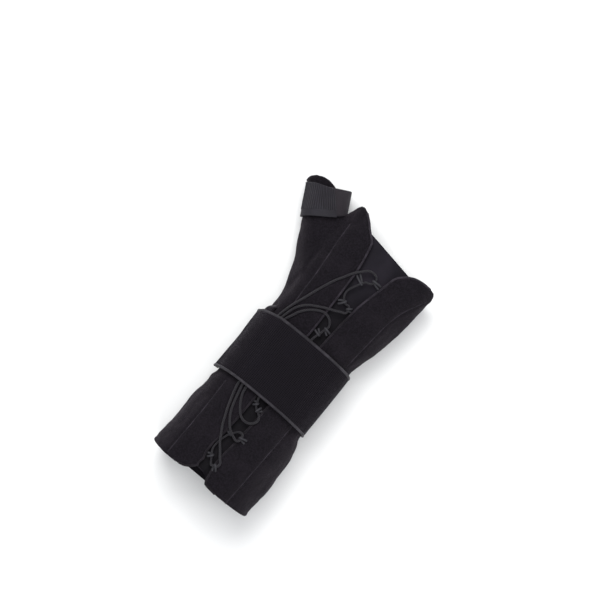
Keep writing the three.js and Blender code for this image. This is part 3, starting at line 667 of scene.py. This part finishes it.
class Nodes:
    """A short way to build a material's nodes; colours are sRGB triples."""

    def __init__(self, name):
        self.material = bpy.data.materials.new(name)
        self.material.use_nodes = True
        self.tree = self.material.node_tree

    def feed(self, node, inputs):
        """Sets or links the inputs of a node, and gives its outputs."""
        for key, value in inputs.items():
            if isinstance(value, tuple):
                node.inputs[key].default_value = linear(*value)
            elif isinstance(value, (int, float)):
                node.inputs[key].default_value = value
            else:
                self.tree.links.new(value, node.inputs[key])
        return node.outputs

    def add(self, kind, inputs, **settings):
        node = self.tree.nodes.new(kind)
        for key, value in settings.items():
            setattr(node, key, value)
        return self.feed(node, inputs)

    def math(self, operation, a, b=0.0):
        return self.add("ShaderNodeMath", {0: a, 1: b}, operation=operation)[0]

    def times(self, a, b):
        return self.math("MULTIPLY", a, b)

    def place(self, kind="Object"):
        return self.add("ShaderNodeTexCoord", {})[kind]

    def parts(self, vector):
        return self.add("ShaderNodeSeparateXYZ", {0: vector})

    def wave(self, operation, value, pitch):
        """Sine or cosine of a length, one turn for each pitch."""
        return self.math(operation, self.times(value, 2 * math.pi / pitch))

    def noise(self, vector, scale, detail, roughness):
        inputs = {"Vector": vector, "Scale": scale, "Detail": detail, "Roughness": roughness}
        return self.add("ShaderNodeTexNoise", inputs)["Fac"]

    def mix(self, factor, a, b):
        inputs = {"Factor": factor, "A": a, "B": b}
        return self.add("ShaderNodeMix", inputs, data_type="RGBA")["Result"]

    def ramp(self, factor, low, high):
        inputs = {"Value": factor, "From Min": low, "From Max": high}
        return self.add("ShaderNodeMapRange", inputs, interpolation_type="SMOOTHSTEP")["Result"]

    def touch(self, colour, noise, low, high, share, other):
        """The colour, with a share of the other one where the noise is high."""
        return self.mix(self.times(self.ramp(noise, low, high), share), colour, other)

    def bump(self, height, distance, strength):
        inputs = {"Height": height, "Distance": distance, "Strength": strength}
        return self.add("ShaderNodeBump", inputs)["Normal"]

    def finish(self, colour, normal, roughness, sheen, tint, specular):
        inputs = {
            "Base Color": colour, "Roughness": roughness, "Sheen Weight": sheen,
            "Sheen Roughness": 0.5, "Sheen Tint": tint, "Specular IOR Level": specular,
        }
        if normal is not None:
            inputs["Normal"] = normal
        self.feed(self.tree.nodes["Principled BSDF"], inputs)
        return self.material


def brushed_laminate():
    """Brushed loop fabric of the sleeve."""
    n = Nodes("brushed_laminate")
    at = n.place()
    fine = n.noise(at, 2600, 2.0, 0.7)
    loops = n.noise(at, 950, 3.0, 0.7)
    broad = n.noise(at, 60, 3.0, 0.5)
    patch = n.noise(at, 190, 2.0, 0.6)
    colour = n.mix(n.ramp(loops, 0.36, 0.66), (10, 8, 11), (25, 22, 27))
    colour = n.touch(colour, broad, 0.45, 0.75, 0.35, (31, 27, 32))
    colour = n.touch(colour, patch, 0.5, 0.8, 0.25, (12, 11, 14))
    height = n.math("ADD", n.times(loops, 0.8), n.times(fine, 0.4))
    normal = n.bump(height, 0.0007, 0.9)
    return n.finish(colour, normal, 0.95, sheen=0.07, tint=(220, 205, 220), specular=0.08)


def smooth_knit():
    """Knit of the tongue, darker towards the forearm."""
    n = Nodes("smooth_knit")
    at = n.place()
    wave = n.noise(at, 45, 2.0, 0.5)
    grain = n.noise(at, 1500, 2.0, 0.6)
    open_end = n.ramp(n.parts(at)["Y"], 0.04, 0.1)
    dark = n.mix(n.ramp(wave, 0.35, 0.7), (9, 8, 10), (14, 12, 15))
    pale = n.mix(n.ramp(wave, 0.35, 0.7), (18, 16, 21), (26, 23, 29))
    colour = n.mix(open_end, dark, pale)
    colour = n.touch(colour, grain, 0.4, 0.7, 0.3, (27, 24, 31))
    normal = n.bump(grain, 0.0002, 0.6)
    return n.finish(colour, normal, 0.8, sheen=0.05, tint=(215, 200, 225), specular=0.1)


def lattice(n, pitch_u, pitch_v):
    """Dots on a staggered lattice, from UVs in millimetres: 1 at a dot, 0 midway between dots."""
    uv = n.parts(n.place("UV"))
    u = n.times(uv["X"], 2 * math.pi / pitch_u)
    v = n.times(uv["Y"], 2 * math.pi / pitch_v)
    a = n.math("COSINE", n.times(n.math("ADD", u, v), 0.5))
    b = n.math("COSINE", n.times(n.math("SUBTRACT", u, v), 0.5))
    return n.math("ADD", n.times(n.times(a, b), 0.5), 0.5)


def mesh_strap():
    """Spacer mesh, with fuzzy fibres where the strap turns over the sides, painted pale as sheen
    where the light catches them.
    """
    n = Nodes("mesh_strap")
    dots = lattice(n, 1.6, 1.3)
    at = n.place()
    x, _, z = n.parts(at)
    broad = n.noise(at, 70, 3.0, 0.5)
    grain = n.noise(at, 1800, 2.0, 0.6)
    hole = n.ramp(dots, 0.45, 0.9)
    colour = n.mix(hole, (21, 19, 23), (1, 1, 2))
    colour = n.touch(colour, broad, 0.4, 0.75, 0.35, (21, 19, 24))
    # Painted sheen: pale fibre speckles, full on the strap's left side and weaker on its right,
    # higher up the sides, where the light catches the fuzz.
    fibres = n.ramp(n.noise(at, 850, 2.0, 0.7), 0.46, 0.62)
    left = n.ramp(x, -0.0345, -0.0425)
    right = n.times(n.ramp(x, 0.031, 0.0425), 0.4)
    upper = n.times(n.ramp(z, 0.008, 0.032), n.ramp(broad, 0.25, 0.55))
    fuzz_and_sheen = n.times(n.times(fibres, upper), n.math("MAXIMUM", left, right))
    colour = n.mix(fuzz_and_sheen, colour, (55, 53, 57))
    height = n.math("SUBTRACT", n.times(grain, 0.35), hole)
    normal = n.bump(height, 0.0007, 1.0)
    return n.finish(colour, normal, 0.85, sheen=0.05, tint=(220, 205, 222), specular=0.04)


def edge_binding():
    """Satin tape with fine cross ribs."""
    n = Nodes("edge_binding")
    ribs = n.wave("SINE", n.parts(n.place("UV"))["X"], 0.55)
    broad = n.noise(n.place(), 130, 2.0, 0.5)
    colour = n.mix(n.ramp(broad, 0.35, 0.7), (28, 26, 30), (48, 45, 50))
    height = n.math("ADD", n.times(ribs, 0.5), broad)
    normal = n.bump(height, 0.00018, 0.8)
    return n.finish(colour, normal, 0.6, sheen=0.06, tint=(215, 208, 220), specular=0.24)


def piping(name, dim_y, bright_y):
    """Fuzzy edge of a panel; it is dim below dim_y and bright above bright_y, in metres."""
    n = Nodes(name)
    at = n.place()
    shade = n.ramp(n.noise(at, 160, 2.0, 0.5), 0.35, 0.7)
    bright = n.mix(shade, (28, 25, 30), (44, 40, 46))
    dim = n.mix(shade, (15, 13, 16), (27, 24, 28))
    colour = n.mix(n.ramp(n.parts(at)["Y"], dim_y, bright_y), dim, bright)
    normal = n.bump(n.noise(at, 2200, 2.0, 0.7), 0.0004, 0.8)
    return n.finish(colour, normal, 0.85, sheen=0.1, tint=(220, 208, 222), specular=0.12)


def ribbed_webbing():
    """Webbing with ribs on its outer half above the hem; the ribs match thumb_relief."""
    n = Nodes("ribbed_webbing")
    run, across, _ = n.parts(n.place("UV"))
    outer_half = n.ramp(run, RIBS_FROM - 1, RIBS_FROM + 2)
    ribbed = n.times(n.ramp(across, HEM - 0.1, HEM + 0.3), outer_half)
    ribs = n.times(n.wave("SINE", run, RIB_PITCH), ribbed)
    fine = n.wave("SINE", across, 0.8)
    at = n.place()
    grain = n.noise(at, 1700, 2.0, 0.6)
    broad = n.noise(at, 90, 2.0, 0.5)
    colour = n.mix(n.ramp(ribs, -0.8, 0.9), (24, 23, 26), (43, 41, 46))
    colour = n.mix(outer_half, (38, 34, 38), colour)
    colour = n.touch(colour, broad, 0.4, 0.75, 0.3, (46, 44, 50))
    height = n.math("ADD", n.times(ribs, 0.6), n.times(fine, 0.25))
    height = n.math("ADD", height, n.times(grain, 0.6))
    normal = n.bump(height, 0.0004, 0.9)
    return n.finish(colour, normal, 0.8, sheen=0.06, tint=(215, 208, 220), specular=0.18)


def braided_elastic():
    """Braid of the laces: two sets of strands that wind opposite ways."""
    n = Nodes("elastic_lace")
    run, share, _ = n.parts(n.place("UV"))
    turn = n.times(share, 2 * math.pi * 5)
    run = n.times(run, 2 * math.pi / 1.7)
    a = n.math("SINE", n.math("ADD", run, turn))
    b = n.math("SINE", n.math("SUBTRACT", run, turn))
    braid = n.math("MAXIMUM", a, b)
    colour = n.mix(n.ramp(braid, -0.2, 1.0), (10, 9, 11), (36, 34, 38))
    normal = n.bump(braid, 0.00022, 0.9)
    return n.finish(colour, normal, 0.5, sheen=0.05, tint=(220, 212, 225), specular=0.26)


def loop_tape():
    """Narrow woven tape of the lace loops."""
    n = Nodes("loop_tape")
    dots = lattice(n, 0.9, 0.9)
    colour = n.mix(n.ramp(dots, 0.2, 0.8), (30, 29, 32), (54, 53, 57))
    normal = n.bump(dots, 0.0002, 0.8)
    return n.finish(colour, normal, 0.65, sheen=0.06, tint=(210, 210, 220), specular=0.2)


def thread():
    n = Nodes("thread")
    twist = n.noise(n.place(), 2500, 2.0, 0.5)
    colour = n.mix(twist, (12, 10, 13), (26, 23, 27))
    return n.finish(colour, None, 0.7, sheen=0.04, tint=(210, 205, 215), specular=0.15)


# The thumb strap's ribs: where they start along it, their pitch, and the hem below them.
RIBS_FROM = 54.0
RIB_PITCH = 1.7
HEM = 5.3

FINISH = {
    "brushed_laminate": brushed_laminate(),
    "smooth_knit": smooth_knit(),
    "mesh_strap": mesh_strap(),
    "edge_binding": edge_binding(),
    "piping_radial": piping("piping_radial", 0.0, 0.03),
    "piping_ulnar": piping("piping_ulnar", 0.058, 0.074),
    "seam_welt": piping("seam_welt", -1.0, -0.5),
    "ribbed_webbing": ribbed_webbing(),
    "elastic_lace": braided_elastic(),
    "loop_tape": loop_tape(),
    "thread": thread(),
}


def dress(obj, finish, slot, *nodes):
    """Gives a piece its material and body, and hides the CAD nodes that it stands for. The slot is
    not used.
    """
    obj.data.materials.append(FINISH[finish])
    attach(obj, "root")
    if nodes:
        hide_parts(*nodes)


# The sleeve and the tongue.

FIELD_LOW = np.array([-86.0, -110.0, -3.0])
FIELD_HIGH = np.array([58.0, 141.0, 74.0])
PROBE = 0.05


def value_and_slope(term, points):
    """A distance term at points, and its slope along x, y and z."""
    value = term(points)
    slope = np.stack([(term(points + step) - value) / PROBE for step in PROBE * np.eye(3)], -1)
    return value, slope


def build_sleeve():
    axes = [np.arange(FIELD_LOW[k], FIELD_HIGH[k], CELL) for k in range(3)]
    px, py = np.meshgrid(axes[0], axes[1], indexing="ij")
    plan = {name: term[:, :, None] for name, term in plan_parts(px, py).items()}
    field = sleeve_distance(*np.meshgrid(*axes, indexing="ij", copy=False), plan)
    verts, quads = surface_nets(field, FIELD_LOW, CELL)

    def at(v):
        return sleeve_distance(v[:, 0], v[:, 1], v[:, 2], plan_parts(v[:, 0], v[:, 1]))

    for _ in range(2):
        value, slope = value_and_slope(at, verts)
        move = -value[:, None] * slope / (np.sum(slope**2, 1)[:, None] + 0.2)
        verts = verts + np.clip(move, -0.5 * CELL, 0.5 * CELL)
    obj = new_object("sleeve_fabric", verts, quads)
    dress(obj, "brushed_laminate", "brushed_laminate", *SLEEVE_NODES)


TONGUE_ROWS, TONGUE_COLUMNS = 190, 46
TONGUE_LOW_Y, TONGUE_HIGH_Y = -95.5, 124.2
# The fold near the forearm end: its x, half width, and the y where it starts.
FOLD_X, FOLD_HALF, FOLD_FROM_Y = 2.4, 0.9, -46


def build_tongue():
    first, last = TONGUE[0][0], TONGUE[-1][0]
    rows = np.linspace(first, last, TONGUE_ROWS)
    spans = tongue_row(rows)
    x = spans[:, :1] + (spans[:, 1:] - spans[:, :1]) * np.linspace(0, 1, TONGUE_COLUMNS)
    low_y = TONGUE_LOW_Y - 0.06 * np.maximum(0, x - 1) ** 1.8
    high_y = TONGUE_HIGH_Y - 0.16 * (x + 14)
    t = ((rows - first) / (last - first))[:, None]
    y = low_y + (high_y - low_y) * t
    round_off = 0.6 * np.clip(1 - np.minimum(t, 1 - t) * 160, 0, 1) ** 2
    soft = 0.28 * np.sin(y / 11 + x / 9) * np.sin(x / 4.2 + 0.4)
    fold = 0.8 * bell(x, FOLD_X, FOLD_HALF) * np.clip((FOLD_FROM_Y - y) / 4, 0, 1)
    under_wall = top_z(x, y, -(WALL + TONGUE_GAP))
    upper = under_wall - 0.3 + np.minimum(soft, 0.25) - round_off + np.minimum(fold, 0.5) * 0.6
    lower = under_wall - TONGUE_THICK + round_off
    top = np.stack([x, y, upper], -1)
    bottom = np.stack([x, y, lower], -1)[:, ::-1]
    obj = lofted("tongue_padding", np.concatenate([top, bottom], 1))
    dress(obj, "smooth_knit", "smooth_knit", "tongue")


# Ribbons wound round a section.

def ribbon_rings(stations, low, high, place, thick, columns, edge=4, relief=None):
    """Closed cross sections of a ribbon: its upper face, round edge, lower face, round edge.

    place(stations, y, off) gives the points; y runs from low to high at each station.
    relief(run, across) is added on the upper face, with both measured in millimetres.
    """
    loop = []
    for first, face, side in ((0.0, 1.0, 1), (1.0, 0.0, -1)):
        for share in np.linspace(0, 1, columns):
            loop.append((first + side * share, face, 0.0))
        for k in range(1, edge):
            a = side * math.pi / 2 - math.pi * k / edge
            loop.append((1 - first, 0.5 + 0.5 * math.sin(a), math.cos(a)))
    loop = np.array(loop)
    inset = thick * 0.42
    start = (low + inset)[:, None]
    end = (high - inset)[:, None]
    y = start + (end - start) * loop[None, :, 0] + inset * loop[None, :, 2]
    off = thick * loop[None, :, 1] + 0 * y
    at = stations[:, None] + 0 * y
    rings = place(at, y, off)
    length = run_lengths(rings[:, columns // 2])
    run = length[:, None] + 0 * y
    across = y - low[:, None]
    if relief is not None:
        rings = place(at, y, off + relief(run, across) * (loop[:, 1] == 1))
    return rings, np.stack([run, across], -1), length[-1]


# The wrist strap, by degrees round the wrist. It starts on the back with its under layer, whose
# corner has faded out at UNDER_END.
STRAP_START, STRAP_END, UNDER_END = 150.0, 560.0, 184.0
STRAP_LIFT = [(150, 0.4), (290, 0.4), (365, 0.4), (400, 3.3), (500, 3.3), (535, 2.9), (560, 2.9)]
lift_at = smooth_table(STRAP_LIFT)
STRAP_LOW_Y, STRAP_HIGH_Y = -30.2, 28.4
# How far each edge moves towards the fingers over the back, and the under layer's corner.
CROWN_LOW, CROWN_HIGH = 4.2, 3.9
UNDER_CORNER = 5.6
# The outer end tilts: from where, over how many degrees, and how far each edge moves back.
TILT_FROM, TILT_OVER, TILT_LOW, TILT_HIGH = 485, 55, 1.2, 4.0
# The distal edge stands off at the thumb side: how far, from y 0 to FLARE_Y, where and how wide.
FLARE, FLARE_Y, FLARE_AT, FLARE_WIDTH = 1.6, 28, 548, 30
# Nearer the forearm's end than this, the sleeve swells out from under the strap.
WAIST_Y = -31.5


def strap_edges(degrees):
    crown = np.maximum(0, np.sin(np.radians(degrees)))
    under = np.clip((UNDER_END - degrees) / (UNDER_END - STRAP_START), 0, 1)
    tilt = np.clip((degrees - TILT_FROM) / TILT_OVER, 0, 1)
    low = STRAP_LOW_Y + CROWN_LOW * crown - TILT_LOW * tilt
    return low, STRAP_HIGH_Y + CROWN_HIGH * crown + UNDER_CORNER * under - TILT_HIGH * tilt


def strap_place(degrees, y, off):
    lift = lift_at(degrees)[..., 0]
    outer_layer = np.clip((lift - 0.4) / 2.5, 0, 1)
    ripple = outer_layer * (
        0.22 * np.sin(degrees / 6.1 + y / 17) * np.sin(y / 8.5 + 0.7)
        + 0.16 * np.sin(degrees / 2.9 - y / 21)
    )
    flare = FLARE * np.clip(y / FLARE_Y, 0, 1) * bell(degrees, FLARE_AT, FLARE_WIDTH)
    lift = lift + ripple + flare
    point = sleeve_point(np.maximum(WAIST_Y, y), np.radians(degrees), lift + off)
    point[..., 1] = y
    point[..., 2] = np.maximum(point[..., 2], 0.0)
    return point


def binding_place(degrees, y, off):
    return strap_place(degrees, y, off - 0.1)


def build_strap():
    stations = np.linspace(STRAP_START, STRAP_END, 420)
    low, high = strap_edges(stations)
    seam = BINDING_WIDTH - 0.35
    rings, uv, length = ribbon_rings(
        stations, low + seam, high - seam, strap_place, STRAP_THICK * 0.9, 40
    )
    strap = lofted("wrist_strap_mesh", rings, uv)
    dress(strap, "mesh_strap", "mesh_strap", "wrist_strap")
    for name, inner, outer in (
        ("strap_binding_distal", high - BINDING_WIDTH, high),
        ("strap_binding_proximal", low, low + BINDING_WIDTH),
    ):
        rings, uv, _ = ribbon_rings(
            stations, inner, outer, binding_place, STRAP_THICK + 0.25, 6, 6
        )
        piece = lofted(name + "_tape", rings, uv)
        dress(piece, "edge_binding", "edge_binding", name)


# The thumb strap, by degrees round the thumb; its edges are places along the thumb axis.
THUMB_START, THUMB_FINISH = 112.0, -304.0
THUMB_LIFT = smooth_table([(-304, 2.6), (-250, 2.6), (-160, 0.4), (112, 0.4)])
THUMB_EDGES = smooth_table([
    (-304, 124.0, 145.0), (-270, 122.6, 146.4), (-240, 121.4, 147.2), (-180, 119.6, 146.9),
    (-90, 122.0, 146.4), (0, 127.0, 146.2), (60, 124.6, 146.0), (112, 124.0, 146.0),
])
# The tab's end is cut on a slant, from TAB_FROM on; degrees a millimetre, and where it is 0.
TAB_FROM, TAB_SHEAR, TAB_LOW = -250, 0.98, 126.7
# The strap stands off at the finger side: how far, at what place and over what width.
SLACK, SLACK_AT, SLACK_WIDTH = 3.2, 8, 42
# Past these places along the thumb axis the strap keeps the thumb's section.
HELD_U = (124, 146)


def thumb_strap_place(degrees, u, off):
    ending = np.clip((TAB_FROM - degrees) / (TAB_FROM - THUMB_FINISH), 0, 1)
    degrees = degrees + TAB_SHEAR * (u - TAB_LOW) * ending
    lift = THUMB_LIFT(degrees)[..., 0] + SLACK * bell(degrees, SLACK_AT, SLACK_WIDTH)
    held = np.clip(u, *HELD_U)
    turn = np.radians(degrees)
    z = thumb_point(held, turn, lift + off)[..., 2]
    across, half, _, _ = np.moveaxis(thumb_row(held), -1, 0)
    x, y = thumb_plan(across + (half + lift + off) * power(np.cos(turn)), u)
    return np.stack([x, y, z], -1)


def thumb_relief(run, across):
    """Ribs across the outer half, and a smooth hem along its low edge with stitched lines."""
    outer_half = np.clip((run - RIBS_FROM) / 3, 0, 1)
    ribbed = np.clip((across - HEM) / 0.4, 0, 1)
    ribs = 0.13 * np.sin(2 * np.pi * run / RIB_PITCH)
    hem = -0.35 + 0.08 * np.cos(2 * np.pi * across / 1.3)
    return (ribs * ribbed + hem * (1 - ribbed)) * outer_half


def build_thumb_strap():
    stations = np.linspace(THUMB_START, THUMB_FINISH, 380)
    edges = THUMB_EDGES(stations)
    rings, uv, length = ribbon_rings(
        stations, edges[:, 0], edges[:, 1], thumb_strap_place, THUMB_STRAP_THICK, 40,
        relief=thumb_relief,
    )
    obj = lofted("thumb_strap_webbing", rings, uv)
    dress(obj, "ribbed_webbing", "ribbed_webbing", "thumb_strap")


# Laces and their loops.

# Radius of a lace where it is lifted as little and as much as LACE_LIFTS: it looks thinner
# where the loops pull it tight.
LACE_SPAN = (0.78, 0.98)
LACE_LIFTS = (0.1, 1.5)


def build_laces():
    for name, points in LACES.items():
        x, y, lift = np.array([(*point, LACE_LIFT)[:3] for point in points]).T
        path = catmull(np.column_stack([x, y, top_z(x, y) + lift, lift]), 0.8)
        radius = np.interp(path[:, 3], LACE_LIFTS, LACE_SPAN)
        rings, uv = tube_rings(path[:, :3], radius, 12)
        dress(lofted(name + "_cord", rings, uv), "elastic_lace", "elastic_lace", name)


LOOP_REACH = 1.3
LEG_SPREAD = 1.35
LOOP_STEP = 0.3
TAPE_HALF = (0.8, 0.4)


def loop_path(length, lift):
    """The middle line of a loop: out of the panel, over the lace, under it and back."""
    root = 0.35 - lift if lift > 1 else -1.5 - lift
    r = LOOP_REACH
    return [
        (length, LEG_SPREAD, root),
        (0.6 * length + 0.6, 0.95 * LEG_SPREAD, 0.5 * root + 0.55),
        (0.35 * length + 0.2, 0.7 * LEG_SPREAD, 0.2 * root + r * 0.85),
        (-0.1, 0.45, r),
        (-0.75 * r, 0.2, 0.68 * r),
        (-r, 0, 0),
        (-0.75 * r, -0.2, -0.66 * r),
        (0, -0.5, -0.9 * r),
        (0.4 * length + 0.2, -0.75 * LEG_SPREAD, 0.5 * (root - r)),
        (length, -LEG_SPREAD, root - 0.2),
    ]


def build_loops():
    turns = np.linspace(0, 2 * np.pi, 12, endpoint=False)[None, :, None]
    for name, (x, y, degrees, length, lift) in LOOPS.items():
        path = catmull(loop_path(length, lift), LOOP_STEP)
        along = unit(np.gradient(path, axis=0))
        across = np.array([0.0, 1.0, 0.0])
        side = unit(across - along * np.sum(across * along, 1)[:, None])[:, None]
        upper = np.cross(along[:, None], side)
        half_width, half_thick = TAPE_HALF
        section = half_width * np.cos(turns) * side + half_thick * np.sin(turns) * upper
        rx, ry, rz = np.moveaxis(path[:, None] + section, -1, 0)
        slope = float(top_z(np.array(x + 1.0), y) - top_z(np.array(x - 1.0), y)) / 2
        c, s = math.cos(math.radians(degrees)), math.sin(math.radians(degrees))
        px, py = rx * c - ry * s, rx * s + ry * c
        base = float(top_z(np.array(float(x)), y)) + lift
        placed = np.stack([px + x, py + y, rz + px * slope + base], -1)
        run = LOOP_STEP * np.arange(len(path))[:, None]
        uv = np.stack(np.broadcast_arrays(run, half_width * np.cos(turns)[..., 0]), -1)
        dress(lofted(name + "_tape", placed, uv), "loop_tape", "loop_tape", name)


# Piping, stitches and welts.

PIPING = 0.8
PIPING_INSET = 0.75
PIPING_SINK = 0.55 * PIPING
WELT = 0.45
PIPED = {
    "piping_radial": [(-16, -104.3)] + RADIAL_EDGE[3:-5],
    "piping_ulnar": ULNAR_EDGE[3:-1],
}
# Stitches: their distance from the seam, radius, spacing in half millimetres, and lift.
STITCH_SIDE = 1.15
STITCH_RADIUS = 0.22
STITCH_STEP = 6
STITCH_LIFT = np.array([-0.25, 0.05, 0.12, 0.05, -0.25])


def edge_term(p):
    return outline_distance(p[:, 0], p[:, 1], BACK)


def face_term(p):
    return outer_distance(p[:, 0], p[:, 1], p[:, 2], plan_parts(p[:, 0], p[:, 1]))


def onto_edge(path, inset, depth):
    """Moves points to where the sleeve's back lies depth below its face, inset from the cut."""
    for _ in range(8):
        for term, goal in ((edge_term, inset), (face_term, -depth)):
            value, slope = value_and_slope(term, path)
            step = (value - goal)[:, None] * slope / (np.sum(slope**2, 1)[:, None] + 0.05)
            path = path - 0.7 * step
    return path


def build_piping():
    for name, outline in PIPED.items():
        x, y = catmull(outline, 1.0).T
        start = np.column_stack([x, y, top_z(x, y) - 1])
        path = resample(onto_edge(start, PIPING_INSET, PIPING_SINK), 0.9)
        rings, uv = tube_rings(path, PIPING, 10)
        dress(lofted(name, rings, uv), name, "brushed_laminate")


def build_stitches():
    verts = []
    faces = []
    for line, _, _ in SEAMS.values():
        path = catmull(line, 0.5)
        along = unit(np.gradient(path, axis=0))
        outward = np.stack([-along[:, 1], along[:, 0]], 1)
        for side in (-STITCH_SIDE, STITCH_SIDE):
            x, y = (path + outward * side).T
            row = np.column_stack([x, y, seen_z(x, y)])
            for start in range(2, len(row) - 8, STITCH_STEP):
                piece = row[start:start + len(STITCH_LIFT)].copy()
                piece[:, 2] += STITCH_LIFT
                new_verts, new_faces = loft(tube_rings(piece, STITCH_RADIUS, 5)[0])
                faces += [[i + len(verts) for i in face] for face in new_faces]
                verts += new_verts.tolist()
    dress(new_object("seam_stitches", verts, faces), "thread", "brushed_laminate")


def build_welts():
    """The thin raised line along each sewn seam."""
    for name, (line, _, _) in SEAMS.items():
        x, y = catmull(line, 0.8).T
        rings, uv = tube_rings(np.column_stack([x, y, seen_z(x, y) + 0.1]), WELT, 8)
        dress(lofted("seam_welt_" + name, rings, uv), "seam_welt", "brushed_laminate")


build_sleeve()
build_tongue()
build_strap()
build_thumb_strap()
build_laces()
build_loops()
build_piping()
build_stitches()
build_welts()


# Stage, light and camera.

def area_light(name, place, target, size, energy):
    data = bpy.data.lights.new(name, "AREA")
    data.shape = "RECTANGLE"
    data.size, data.size_y = size
    data.energy = energy
    obj = bpy.data.objects.new(name, data)
    obj.location = place
    obj.rotation_euler = (Vector(target) - Vector(place)).to_track_quat("-Z", "Y").to_euler()
    bpy.context.scene.collection.objects.link(obj)


FLOOR = 4
corners = [(-FLOOR, -FLOOR, 0), (FLOOR, -FLOOR, 0), (FLOOR, FLOOR, 0), (-FLOOR, FLOOR, 0)]
floor_mesh = bpy.data.meshes.new("floor")
floor_mesh.from_pydata(corners, [], [(0, 1, 2, 3)])
floor = bpy.data.objects.new("floor", floor_mesh)
bpy.context.scene.collection.objects.link(floor)
ground = bpy.data.materials.new("floor")
ground.use_nodes = True
matt = ground.node_tree.nodes["Principled BSDF"].inputs
matt["Base Color"].default_value = (0.8, 0.8, 0.79, 1)
matt["Roughness"].default_value = 0.7
floor_mesh.materials.append(ground)

world = bpy.data.worlds.new("studio")
bpy.context.scene.world = world
world.use_nodes = True
sky = world.node_tree.nodes["Background"].inputs
sky["Color"].default_value = (0.9, 0.93, 1.0, 1)
sky["Strength"].default_value = 0.45
area_light("key", (-0.55, 0.55, 1.25), (0, 0.02, 0.03), (0.9, 0.9), 22)
area_light("fill", (0.9, -0.5, 0.9), (0, 0, 0.03), (1.2, 1.0), 9)
area_light("top", (0.1, 0.1, 1.7), (0, 0, 0), (0.6, 0.6), 6)

TURN = math.radians(40)
# Metres: the middle of the view, the view's width at the height of the splint's back there,
# that height, and how far above it the camera is.
CENTRE = (-0.0251, 0.0503)
VIEW_WIDTH = 0.462
VIEW_HEIGHT = 0.034
DISTANCE = 2.2
camera_data = bpy.data.cameras.new("camera")
camera_data.sensor_width = 36
camera_data.lens = camera_data.sensor_width * DISTANCE / VIEW_WIDTH
camera_data.clip_start = 0.05
camera = bpy.data.objects.new("camera", camera_data)
camera.location = (*CENTRE, DISTANCE + VIEW_HEIGHT)
camera.rotation_euler = (0, 0, TURN)
bpy.context.scene.collection.objects.link(camera)
bpy.context.scene.camera = camera
bpy.context.scene.view_settings.view_transform = "Standard"
